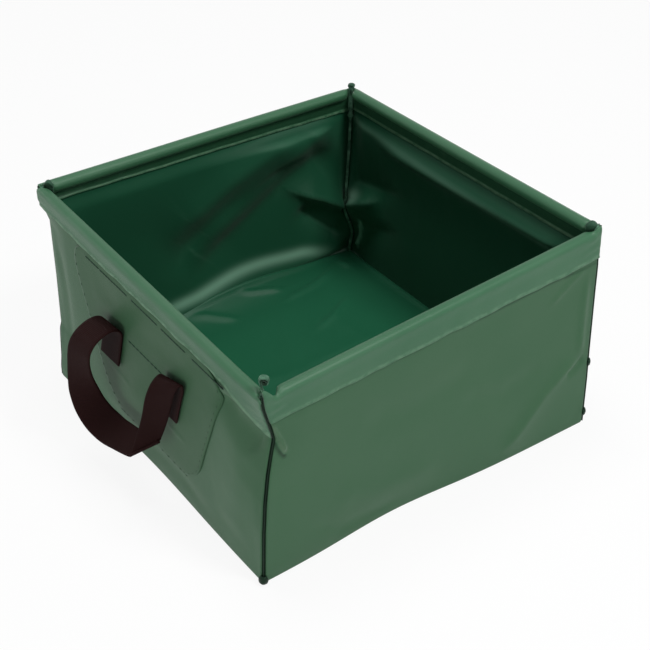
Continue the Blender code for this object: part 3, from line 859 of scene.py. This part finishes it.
for side, seed in SLEEVE_SEEDS.items():
    phases = np.random.default_rng(seed).uniform(0.0, 2.0 * math.pi, 6)
    rows = []
    wear_and_painted_light = []
    for s in BAND_PLACES:
        pressed = PRESSED_FROM[side][0 if s < 0.0 else 1]
        pinch = float(smooth_step(pressed - 2.0, pressed + 5.0, abs(s)))
        ripple = sum(math.sin(s * 2.0 * math.pi / length + phase) for length, phase in zip(RIPPLES, phases)) / 3.0
        outer = OUTER_LOW[side] + RIPPLE_UP * ripple
        inner = INNER_LOW[side] + INNER_SLOPE[side] * s + RIPPLE_UP * ripple
        dip = 0.0
        if side == "left":
            outer -= LEFT_TWIST[0] * max((-s - LEFT_TWIST[1]) / LEFT_TWIST[2], 0.0) ** 1.5
        if side == "front":
            dip = FRONT_DIP[0] * hump(s, *FRONT_DIP[1:])
            for place, (rise, *ends) in ((s, FRONT_RISES["right"]), (-s, FRONT_RISES["left"])):
                dip -= rise * smooth_step(*ends, place)
        section = sleeve_section(pinch, outer, inner, ripple)
        row = []
        for n, z in section:
            reach = min(HALF - n - 1.0 - 2.4 * smooth_step(2.0, 5.0, n), LAST_PLACE)
            along = math.copysign(min(abs(s), reach), s)
            over = max(abs(s) - TURNED_FROM, 0.0) / TURNED_OVER
            turned = TURNED_IN * (1.0 - math.sqrt(max(1.0 - over * over, 0.0)))
            crease = END_CREASE * math.sin(z * 0.9 + s * 0.11 + phases[0]) * hump(abs(s), *CREASED_AT)
            row.append((n + turned + crease, along, z - dip * smooth_step(*DIP_SEEN, z)))
        rows.append(tub_frame(side, *np.array(row).T))
        edge = np.zeros(len(section))
        # The band's two sewn edges are pale, partly a rubbed cut edge and partly a painted highlight where the edge
        # catches light; its inner layer under the rod is painted dark, as the rod's shadow.
        edge[:2] = edge[-2:] = 1.0
        edge[OUTER_STEPS + 1 + TURN_STEPS:-2] = -0.45
        wear_and_painted_light.append(edge + 0.12 * pinch)
    wear_and_painted_light = np.clip(np.array(wear_and_painted_light), -1.0, 1.0)
    # The front band's pale edges are toned down, painted shade for its more brightly lit face.
    if side == "front":
        wear_and_painted_light = np.where(wear_and_painted_light > 0.0, 0.6 * wear_and_painted_light, wear_and_painted_light)
    # At each end of a band the outer layer is painted dark, as the shadow in the corner's crack.
    outer_layer = slice(OUTER_STEPS + 2)
    wear_and_painted_light[:2, outer_layer] = wear_and_painted_light[-2:, outer_layer] = -1.0
    band = cloth_shell("rim_band_" + side, np.array(rows), CLOTH, wear_and_painted_light=wear_and_painted_light)
    band.data.materials.append(rim_cloth)
    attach(band, "basin")
    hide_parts("rim_sleeve_" + side)

# ---------------------------------------------------------------- rim rods
# A smooth glass-fibre rod lies loose in each sleeve and keeps the rim straight.
# Only its round shape shows. It lies along the line that the standing rim takes.

ROD_RADIUS = 3.5
ROD_EASE = 0.4
ROD_ENDS = {"left": (-136.5, 136.5), "right": (-136.5, 136.5), "front": (-136.5, 130.0), "back": (-136.5, 136.5)}


def stranded(name, finish, scale, detail, tones, dullness):
    """A plain finish whose fine strands vary between two tones and two roughnesses."""
    made, tree, shader = new_material(name, finish)
    place = add_node(tree, "ShaderNodeTexCoord").outputs["Object"]
    strands = add_node(tree, "ShaderNodeTexNoise", {"Scale": scale, "Detail": detail, "Vector": place}).outputs["Fac"]
    feed(shader, {"Base Color": mixed_colour(tree, strands, *tones), "Roughness": ranged(tree, strands, *dullness)})
    return made


GLASS_FIBRE = ((0.50, 0.50, 0.48, 1.0), (0.62, 0.62, 0.58, 1.0))
rod_finish = stranded("glass_fibre_rod", {"Coat Weight": 0.3}, 260.0, 4.0, GLASS_FIBRE, (0.28, 0.42))
for side, (first, last) in ROD_ENDS.items():
    bpy.ops.mesh.primitive_cylinder_add(vertices=32, radius=ROD_RADIUS * MM, depth=(last - first) * MM)
    rod = bpy.context.object
    rod.name = "rim_rod_" + side + "_fibre"
    eased = rod.modifiers.new("eased_ends", "BEVEL")
    eased.width = ROD_EASE * MM
    eased.segments = 2
    bpy.ops.object.modifier_apply(modifier=eased.name)
    start, end = (Vector(place) for place in tub_frame(side, [ROD_IN, ROD_IN], (first, last), [ROD_UP, ROD_UP]))
    lying = (end - start).to_track_quat("Z", "Y").to_matrix().to_4x4()
    lying.translation = (start + end) / 2.0
    rod.data.transform(lying)
    rod.data.shade_smooth()
    rod.data.materials.append(rod_finish)
    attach(rod, "basin")
    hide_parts("rim_rod_" + side)

# ------------------------------------------------------------ corner seams
# The two walls' seam allowances, turned inside the tub and standing as a thin
# upright rib at each corner. Above the hem line the rib is stiffer, and its end
# is rolled up above the rim. At three places its tip is turned out over the corner.

SEAM_GREEN = (0.008, 0.034, 0.018, 1.0)
PALE_SEAM = (0.200, 0.420, 0.280, 1.0)
seam_cloth = coated_cloth("seam_cloth", SEAM_GREEN, PALE_SEAM, 0.46, 0.75, 0.0003, 60.0, 0.10)
SEAM_SIDES = {"front_left": (-1, -1), "front_right": (1, -1), "back_left": (-1, 1), "back_right": (1, 1)}
SWAY = {"front_left": 0.8, "front_right": -1.2, "back_left": 1.0, "back_right": -0.8}
TOP_OF_RIB = {"front_left": 179.0, "back_left": 177.4, "front_right": 181.0, "back_right": 177.6}
# Where the rib begins inward, how wide it is and half its thickness, up to the hem
# and above it.
RIB = (5.2, 8.6, 1.2)
RIB_TOP = (4.4, 8.8, 2.0)
# Just under the hem a bead of cloth stands out: how far, at what height, how tall.
BEAD = (1.3, 150.5, 1.9)
# How each line of the rib's outline is painted, round its edge: dark at its sides, as painted shade in the corner's
# crack, and pale at its edge, as a painted highlight.
RIB_HIGHLIGHT_AND_SHADE = [-1.0] * 3 + [0.5] + [1.0] * 5 + [0.5] + [-1.0] * 3
# The rolled-up end: its middle across the rib and up, its half-width and
# half-height, and its first and last place inward.
SCROLL_FOOT = 172.5
SCROLL_BEND = 175.0
SCROLL_STEPS = 44
SCROLL_COLUMNS = 9
SCROLL_FROM = -8.0
SCROLL_TURN = 540.0
SCROLL_TIGHTENS = 0.66
# Rows of the roll painted pale as a highlight on its rim, and those inside it painted dark as its shade.
SCROLL_HIGHLIGHT_ROWS = slice(2, 18)
SCROLL_INSIDE = slice(24, None)
SCROLL = {
    "front_left": (-0.8, 188.4, 3.5, 3.5, 8.4, 11.4),
    "back_left": (1.0, 180.6, 2.4, 2.4, 8.0, 14.6),
    "front_right": (-1.0, 181.6, 2.4, 2.0, 5.0, 13.6),
    "back_right": (0.2, 179.0, 3.0, 1.4, 4.6, 8.6),
}
# The turned-out tips: how they bend round the corner, then each one's corner,
# lowest and highest place, half-width, and how proud.
NUB_IN = 1.8
NUB_BEND = 0.62
NUBS = {
    "seam_nub_front_left": ("front_left", 0.8, 7.6, 3.2, 2.6),
    "seam_nub_front_right": ("front_right", 8.5, 13.5, 2.2, 0.9),
    "seam_nub_right_edge": ("front_right", 57.0, 62.0, 1.8, 0.7),
}


def seam_place(corner, inward, across, up):
    """A place at a corner in mm: inward along its diagonal, across it, and up."""
    sx, sy = SEAM_SIDES[corner]
    way = np.array([-sx, -sy, 0.0]) / math.sqrt(2.0)
    aside = np.array([-way[1], way[0], 0.0])
    return np.array([sx * HALF, sy * HALF, 0.0]) + way * inward + aside * across + np.array([0.0, 0.0, up])


def seam_rib(name, corner, sizes, heights, sway, tip):
    """Layers of cloth side by side, as one closed rib with a groove down its edge."""
    start, width, stout = sizes
    work = bmesh.new()
    rings = []
    for z in heights:
        bent = sway * math.sin(math.pi * np.clip(z / HEM_LINE, 0.0, 1.0)) * math.cos(z * 0.045 + sway)
        bead = BEAD[0] * math.exp(-((z - BEAD[1]) / BEAD[2]) ** 2)
        reach = width * (1.0 + 0.06 * math.sin(z * 0.21 + sway)) * tip(z) + bead
        thick = stout * (1.0 + bead)
        half = [
            (2.7, 0.26), (start - 0.6, 0.3), (start, 0.85 * thick ** 0.3), (reach * 0.66, thick),
            (reach - 0.6, thick), (reach, 0.6 * thick),
        ]
        ring = []
        for r, t in [(r, -t) for r, t in half] + [(reach - 0.55, 0.0)] + half[::-1]:
            lean = bent * (max(r - start, 0.0) / width) ** 2
            ring.append(work.verts.new(settled(seam_place(corner, r, t + lean, z)) * MM))
        rings.append(ring)
    count = len(rings[0])
    for low, high in zip(rings, rings[1:]):
        for k in range(count):
            n = (k + 1) % count
            work.faces.new((low[k], low[n], high[n], high[k]))
    work.faces.new(rings[0])
    work.faces.new(rings[-1])
    bmesh.ops.recalc_face_normals(work, faces=work.faces)
    mesh = bpy.data.meshes.new(name)
    work.to_mesh(mesh)
    work.free()
    layer = mesh.uv_layers.new(name="cloth")
    for loop in mesh.loops:
        point = mesh.vertices[loop.vertex_index].co
        layer.data[loop.index].uv = (point.x + point.y, point.z)
    mark_points(mesh, "wear_and_painted_light", RIB_HIGHLIGHT_AND_SHADE * len(rings))
    mesh.shade_smooth()
    made = put_in_scene(name, mesh)
    made.data.materials.append(seam_cloth)
    return made


def seam_scroll(corner):
    """The rib's end above the rim, rolled up one and a half times."""
    middle, high, half_wide, half_tall, first, last = SCROLL[corner]
    bend = SCROLL_BEND
    section = [(0.0, SCROLL_FOOT), (0.1, bend)]
    section += [((middle + half_wide) * k / 4.0, bend + (high - bend - 0.5) * k / 4.0) for k in range(1, 4)]
    for k in range(SCROLL_STEPS + 1):
        angle = math.radians(SCROLL_FROM + SCROLL_TURN * k / SCROLL_STEPS)
        tightened = 1.0 - SCROLL_TIGHTENS * k / SCROLL_STEPS
        across = middle + half_wide * tightened * math.cos(angle)
        section.append((across, high + half_tall * tightened * math.sin(angle)))
    rows = []
    for t, z in section:
        row = []
        for share in np.linspace(-1.0, 1.0, SCROLL_COLUMNS):
            r = (first + last) / 2.0 + share * (last - first) / 2.0
            slim = 1.0 - (0.5 if last - first > 4.0 else 0.1) * share * share
            up = z if z < bend + 1.0 else bend + 1.0 + (z - bend - 1.0) * slim
            row.append(seam_place(corner, r + 0.3 * math.sin(z), middle + (t - middle) * slim, up))
        rows.append(settled(np.array(row)) * MM)
    # The near scroll is a little pale and the three far ones darker; its rim gets a painted highlight and its inside
    # painted shade.
    wear_and_painted_light = np.full((len(rows), SCROLL_COLUMNS), 0.1 if corner == "front_left" else -0.5)
    wear_and_painted_light[SCROLL_HIGHLIGHT_ROWS] += 0.5
    wear_and_painted_light[SCROLL_INSIDE] = -1.0
    made = cloth_shell("seam_scroll_" + corner, np.array(rows), CLOTH, wear_and_painted_light=wear_and_painted_light)
    made.data.materials.append(seam_cloth)
    return made


for name, (corner, low, high, half_wide, proud) in NUBS.items():
    rows = []
    for z in np.linspace(low, high, 7):
        rise = math.sin(math.pi * (z - low + 1.0) / (high - low + 2.0))
        row = []
        for t in np.linspace(-half_wide, half_wide, 9) * (0.6 + 0.4 * rise):
            raised_by = proud * rise * (1.0 - (t / (half_wide + 0.6)) ** 2)
            row.append(seam_place(corner, NUB_IN + NUB_BEND * math.sqrt(t * t + 1.0) - raised_by, t, z))
        rows.append(settled(np.array(row)) * MM)
    # The tips are painted near-black all over, as painted shade at the corner.
    nub = cloth_shell(name, np.array(rows), CLOTH, wear_and_painted_light=np.full((7, 9), -1.0))
    nub.data.materials.append(seam_cloth)
    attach(nub, "basin")
    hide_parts("corner_seam_" + corner)
    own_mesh(nub)


def narrow_foot(z):
    """The rib is a little narrower at its foot."""
    return 0.80 + 0.20 * min(z / 12.0, 1.0)


def narrow_top(z):
    """The rib is cut narrower at its top."""
    return 1.0 - 0.25 * max((z - 174.0) / 6.0, 0.0) ** 2


for corner in SEAM_SIDES:
    low = seam_rib("seam_rib_" + corner, corner, RIB, np.linspace(1.4, HEM_LINE, 64), SWAY[corner], narrow_foot)
    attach(low, "basin")
    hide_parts("corner_seam_" + corner)
    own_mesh(low)
    heights = np.linspace(HEM_LINE + 0.02, TOP_OF_RIB[corner], 24)
    high = seam_rib("seam_top_" + corner, corner, RIB_TOP, heights, 0.0, narrow_top)
    for piece in (high, seam_scroll(corner)):
        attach(piece, "basin")
        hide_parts("corner_seam_" + corner)

# -------------------------------------------------- handle patches, stitching
# A second layer of the same cloth behind each handle, a trapezoid with rounded
# corners, sewn on outside the wall with dark thread just inside its edge.

PATCH_TOP = 162.4
PATCH_LOW = 30.0
PATCH_TOP_HALF = 105.5
PATCH_LOW_HALF = 58.6
PATCH_ROUND = 26.0
PATCH_CENTRE = -3.5
PATCH_MIDDLE = 0.45
PATCH_THICK = CLOTH * 0.9
# The patch's edge is sewn down on the wall: by how much, and over what width.
EDGE_SUNK = 0.30
EDGE_WIDTH = 2.4
PATCH_GREEN = (0.028, 0.082, 0.038, 1.0)
PALE_PATCH = (0.105, 0.150, 0.095, 1.0)
patch_cloth = coated_cloth("patch_cloth", PATCH_GREEN, PALE_PATCH, 0.45, 0.45, 0.00045, 30.0, 0.08)
THREAD_GREENS = ((0.006, 0.022, 0.012, 1.0), (0.012, 0.040, 0.022, 1.0))
thread = stranded("sewing_thread", {"Specular IOR Level": 0.3}, 900.0, 2.0, THREAD_GREENS, (0.6, 0.85))
# The long stitches along the patch's top, and the row between the strap's two
# ends: first and last place of each in mm, and their height.
TOP_STITCHES = [(-104.4, -71.0), (-58.5, -31.6), (-22.5, 8.0), (18.0, 52.0), (57.9, 72.7)]
TOP_ROW = 157.1
MIDDLE_STITCHES = [(17.7, 7.5), (2.0, -7.5), (-13.0, -23.0)]
MIDDLE_ROW = 114.3
# Stitch, pitch and thread thickness in metres, and how far in mm the thread lies out.
STOUT_THREAD = (0.0052, 0.0036, 0.0014)
STOUT_LIFT = 0.32
FINE_THREAD = (0.0024, 0.0080, 0.0005)
FINE_LIFT = 0.42
FINE_INSET = 2.6
# How far short of the patch's corners the fine rows stop.
SIDE_ROWS_STOP = (6.0, 3.0)
FOOT_ROW_STOPS = 12.0

# Stitches are laid along a path by one tree: stitch, pitch and thread thickness.
sewing, entry, leave = new_group(
    "row_of_stitches", "GeometryNodeTree",
    {
        "Geometry": ("Geometry", None), "Stitch": ("Float", 0.0025), "Pitch": ("Float", 0.004),
        "Thickness": ("Float", 0.0007), "Thread": ("Material", None),
    },
    {"Geometry": "Geometry"})
spaced = add_node(
    sewing, "GeometryNodeResampleCurve", {"Curve": entry["Geometry"], "Length": entry["Pitch"]}, mode="LENGTH")
tangent = add_node(sewing, "GeometryNodeInputTangent").outputs["Tangent"]
turn = add_node(sewing, "FunctionNodeAlignRotationToVector", {"Vector": tangent}, axis="X")
bead = add_node(sewing, "GeometryNodeMeshIcoSphere", {"Radius": 0.5, "Subdivisions": 2})
size = add_node(
    sewing, "ShaderNodeCombineXYZ", {"X": entry["Stitch"], "Y": entry["Thickness"], "Z": entry["Thickness"]})
laid = add_node(sewing, "GeometryNodeInstanceOnPoints", {
    "Points": spaced.outputs["Curve"], "Instance": bead.outputs["Mesh"],
    "Rotation": turn.outputs["Rotation"], "Scale": size.outputs["Vector"],
})
real = add_node(sewing, "GeometryNodeRealizeInstances", {"Geometry": laid.outputs["Instances"]})
coloured = add_node(
    sewing, "GeometryNodeSetMaterial", {"Geometry": real.outputs["Geometry"], "Material": entry["Thread"]})
feed(leave, {"Geometry": coloured.outputs["Geometry"]})


def stitch_row(name, paths, sizes):
    """Sew along one or more paths of places in metres; returns one plain mesh object."""
    curve = bpy.data.curves.new(name + "_path", "CURVE")
    curve.dimensions = "3D"
    for path in paths:
        line = curve.splines.new("POLY")
        line.points.add(len(path) - 1)
        for point, spot in zip(line.points, path):
            point.co = (*spot, 1.0)
    source = put_in_scene(name + "_path", curve)
    sewn = source.modifiers.new("sewing", "NODES")
    sewn.node_group = sewing
    ids = {item.name: item.identifier for item in sewing.interface.items_tree if item.in_out == "INPUT"}
    for socket, value in zip(("Stitch", "Pitch", "Thickness", "Thread"), (*sizes, thread)):
        sewn[ids[socket]] = value
    bpy.context.view_layer.update()
    mesh = bpy.data.meshes.new_from_object(source.evaluated_get(bpy.context.evaluated_depsgraph_get()))
    bpy.data.objects.remove(source)
    mesh.name = name
    mesh.shade_smooth()
    return put_in_scene(name, mesh)


def patch_half_width(z):
    """Half the patch's length at a height, with its corners rounded."""
    share = (z - PATCH_LOW) / (PATCH_TOP - PATCH_LOW)
    half = PATCH_LOW_HALF + (PATCH_TOP_HALF - PATCH_LOW_HALF) * share
    for edge in (PATCH_TOP, PATCH_LOW):
        gap = abs(edge - z)
        if gap < PATCH_ROUND:
            half -= PATCH_ROUND * (1.0 - math.sqrt(max(1.0 - (1.0 - gap / PATCH_ROUND) ** 2, 0.0)))
    return half


def patch_place(side, along, height, lift):
    """Places on the patch, in metres, from places along the wall and up in mm."""
    height = np.full_like(along, height)
    return tub_frame(side, PATCH_MIDDLE - lift + sheet_depth(side, along, height), along, height)


rounding = np.linspace(0.0, math.pi / 2.0, 7)
levels = np.concatenate([
    PATCH_LOW + PATCH_ROUND * (1.0 - np.cos(rounding))[:-1],
    np.linspace(PATCH_LOW + PATCH_ROUND, PATCH_TOP - PATCH_ROUND, 40),
    PATCH_TOP - PATCH_ROUND * (1.0 - np.cos(np.linspace(math.pi / 2.0, 0.0, 7)))[1:],
])
for side in ("left", "right"):
    rows = []
    for z in levels:
        half = patch_half_width(float(z))
        spread = PATCH_CENTRE + np.linspace(-1.0, 1.0, 81) * half
        border = np.minimum(half - np.abs(spread - PATCH_CENTRE), min(PATCH_TOP - z, z - PATCH_LOW))
        rows.append(patch_place(side, spread, z, -EDGE_SUNK * smooth_step(EDGE_WIDTH, 0.0, border)))
    patch = cloth_shell("handle_patch_cloth_" + side, np.array(rows), PATCH_THICK)
    patch.data.materials.append(patch_cloth)
    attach(patch, "basin")
    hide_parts("handle_patch_" + side)
    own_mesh(patch)

    paths = [patch_place(side, np.linspace(*ends, 12), TOP_ROW, STOUT_LIFT).tolist() for ends in TOP_STITCHES]
    long_row = stitch_row("patch_top_stitches_" + side, paths, STOUT_THREAD)
    paths = []
    heights = np.linspace(PATCH_TOP - SIDE_ROWS_STOP[0], PATCH_LOW + SIDE_ROWS_STOP[1], 60)
    for sign in (-1.0, 1.0):
        spread = np.array([PATCH_CENTRE + sign * (patch_half_width(float(z)) - FINE_INSET) for z in heights])
        paths.append(patch_place(side, spread, heights, FINE_LIFT).tolist())
    foot_half = PATCH_LOW_HALF - FOOT_ROW_STOPS
    foot_line = PATCH_CENTRE + np.linspace(-foot_half, foot_half, 40)
    paths.append(patch_place(side, foot_line, PATCH_LOW + FINE_INSET, FINE_LIFT).tolist())
    short_row = stitch_row("patch_side_stitches_" + side, paths, FINE_THREAD)
    paths = [patch_place(side, np.linspace(*ends, 6), MIDDLE_ROW, STOUT_LIFT).tolist() for ends in MIDDLE_STITCHES]
    middle_row = stitch_row("patch_middle_stitches_" + side, paths, STOUT_THREAD)
    for sewn in (long_row, short_row, middle_row):
        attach(sewn, "basin")
        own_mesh(sewn)

# ------------------------------------------------------------------ handles
# Each handle is one strap of 25 mm brown-black webbing. Its two ends are sewn
# flat on the patch, and the rest rolls over outward and hangs as a loop that is
# folded over once at its lower corner.

STRAP_WIDE = 25.4
STRAP_THICK = 1.6
# How far out from its true place the strap lies where it is sewn, fading outward.
STRAP_LIFT = 0.7
LIFT_FADES = (14.0, 4.0)
# Over the hollow of a wall that hangs in, the strap spans all but this of its depth.
SPANNED_LESS = 0.4
# The strap's two edges, in mm outward, along the wall and up, as they lie at
# matching places from one sewn end to the other.
STRAP_EDGES = [
    ((0.9, 62.1, 80.3), (0.9, 36.3, 80.9)),
    ((0.9, 58.3, 91.4), (0.9, 32.7, 92.0)),
    ((0.9, 54.7, 102.9), (0.9, 29.0, 104.0)),
    ((1.1, 51.7, 111.8), (1.1, 25.8, 114.5)),
    ((2.6, 50.0, 117.4), (2.6, 24.1, 120.5)),
    ((6.4, 49.8, 121.0), (6.2, 23.8, 124.1)),
    ((12.5, 49.7, 122.2), (12.0, 23.8, 125.1)),
    ((19.0, 50.7, 119.8), (18.0, 24.8, 122.5)),
    ((25.2, 53.1, 113.5), (23.6, 27.1, 116.1)),
    ((29.2, 55.8, 104.3), (26.8, 29.7, 107.2)),
    ((30.6, 58.1, 92.8), (27.0, 32.2, 96.9)),
    ((31.0, 60.1, 80.1), (25.2, 34.8, 86.2)),
    ((31.6, 61.5, 66.8), (22.2, 37.8, 75.9)),
    ((32.4, 60.5, 54.1), (18.6, 40.1, 65.6)),
    ((33.0, 53.0, 41.5), (15.4, 39.2, 54.8)),
    ((32.4, 40.1, 32.8), (13.4, 33.8, 48.9)),
    ((31.0, 22.8, 30.9), (12.6, 22.6, 48.1)),
    ((29.4, 3.1, 35.9), (12.6, 8.3, 50.2)),
    ((28.4, -16.5, 42.9), (12.4, -33.6, 62.1)),
    ((27.6, -18.2, 44.4), (11.4, -35.4, 64.2)),
    ((26.0, -18.1, 45.3), (9.8, -35.9, 65.6)),
    ((22.6, -20.5, 59.0), (8.0, -39.1, 75.4)),
    ((20.2, -24.2, 73.2), (7.2, -43.0, 85.9)),
    ((18.8, -28.0, 87.4), (6.8, -47.4, 98.6)),
    ((17.8, -31.1, 101.0), (6.9, -51.8, 110.6)),
    ((16.2, -33.9, 111.9), (7.0, -55.7, 120.6)),
    ((12.8, -35.4, 119.5), (6.2, -58.9, 127.0)),
    ((8.0, -35.4, 122.8), (4.6, -59.9, 129.3)),
    ((3.8, -34.0, 121.2), (2.6, -60.0, 127.7)),
    ((1.4, -31.4, 114.9), (1.3, -57.8, 119.7)),
    ((0.9, -27.6, 104.9), (0.9, -53.5, 108.1)),
    ((0.9, -23.5, 93.4), (0.9, -49.2, 95.0)),
    ((0.9, -20.1, 81.8), (0.9, -45.4, 82.4)),
]
STRAP_STEPS = 9
BROWN = (0.0230, 0.0078, 0.0072, 1.0)
DEEP_BROWN = (0.009, 0.0032, 0.0030, 1.0)

# Webbing: fine ribs across the strap, threads of two near-black browns, dull sheen.
webbing, tree, shader = new_material(
    "brown_webbing", {"Roughness": 0.72, "Specular IOR Level": 0.04, "Sheen Weight": 0.0, "Sheen Roughness": 0.4})
flat = add_node(tree, "ShaderNodeUVMap", uv_map="cloth").outputs["UV"]
ribs = add_node(
    tree, "ShaderNodeTexWave", {"Scale": 260.0, "Distortion": 1.2, "Detail": 1.0, "Vector": flat},
    wave_type="BANDS", bands_direction="Y")
columns = add_node(
    tree, "ShaderNodeTexWave", {"Scale": 330.0, "Distortion": 0.8, "Vector": flat},
    wave_type="BANDS", bands_direction="X")
woven = worked_out(tree, "MULTIPLY", ribs.outputs["Fac"], columns.outputs["Fac"])
fuzz = add_node(tree, "ShaderNodeTexNoise", {"Scale": 1400.0, "Detail": 3.0, "Vector": flat}).outputs["Fac"]
height = worked_out(tree, "MULTIPLY_ADD", fuzz, 0.35, woven)
feed(shader, {
    "Normal": raised(tree, height, 0.8, 0.0003),
    "Base Color": mixed_colour(tree, height, DEEP_BROWN, BROWN),
})


def smooth_path(points, steps):
    """Points on a smooth curve through the given ones, a few between each two."""
    points = np.array(points, float)
    ends = [2.0 * points[0] - points[1]] + list(points) + [2.0 * points[-1] - points[-2]]
    made = []
    for a, b, c, d in zip(ends, ends[1:], ends[2:], ends[3:]):
        for t in (k / steps for k in range(steps)):
            bend = (2.0 * a - 5.0 * b + 4.0 * c - d) * t * t + (3.0 * b - a - 3.0 * c + d) * t ** 3
            made.append(0.5 * (2.0 * b + (c - a) * t + bend))
    made.append(points[-1])
    return np.array(made)


first_edge, second_edge = (smooth_path(edge, STRAP_STEPS) for edge in zip(*STRAP_EDGES))
across = np.linspace(0.0, 1.0, 13)
for side, sign in (("left", -1.0), ("right", 1.0)):
    rows = []
    for a, b in zip(first_edge, second_edge):
        line = a[None, :] * (1.0 - across[:, None]) + b[None, :] * across[:, None]
        clear = STRAP_LIFT + np.maximum(wall_hang(side, line[:, 1], line[:, 2]) - SPANNED_LESS, 0.0)
        clear = clear * smooth_step(*LIFT_FADES, line[:, 0])
        rows.append(tub_frame(side, -line[:, 0] - clear, line[:, 1], line[:, 2]))
    grid = np.array(rows)
    run = np.cumsum(np.linalg.norm(np.diff(grid, axis=0, prepend=grid[:1]), axis=-1), axis=0)
    flat = np.stack([np.broadcast_to(across * STRAP_WIDE * MM, run.shape), run], axis=-1)
    strap = cloth_shell("handle_strap_" + side, grid, STRAP_THICK, flat=flat, rounded=0.35)
    strap.data.materials.append(webbing)
    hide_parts("handle_loop_" + side, "strap_end_" + side + "_a", "strap_end_" + side + "_b")
    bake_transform(strap)
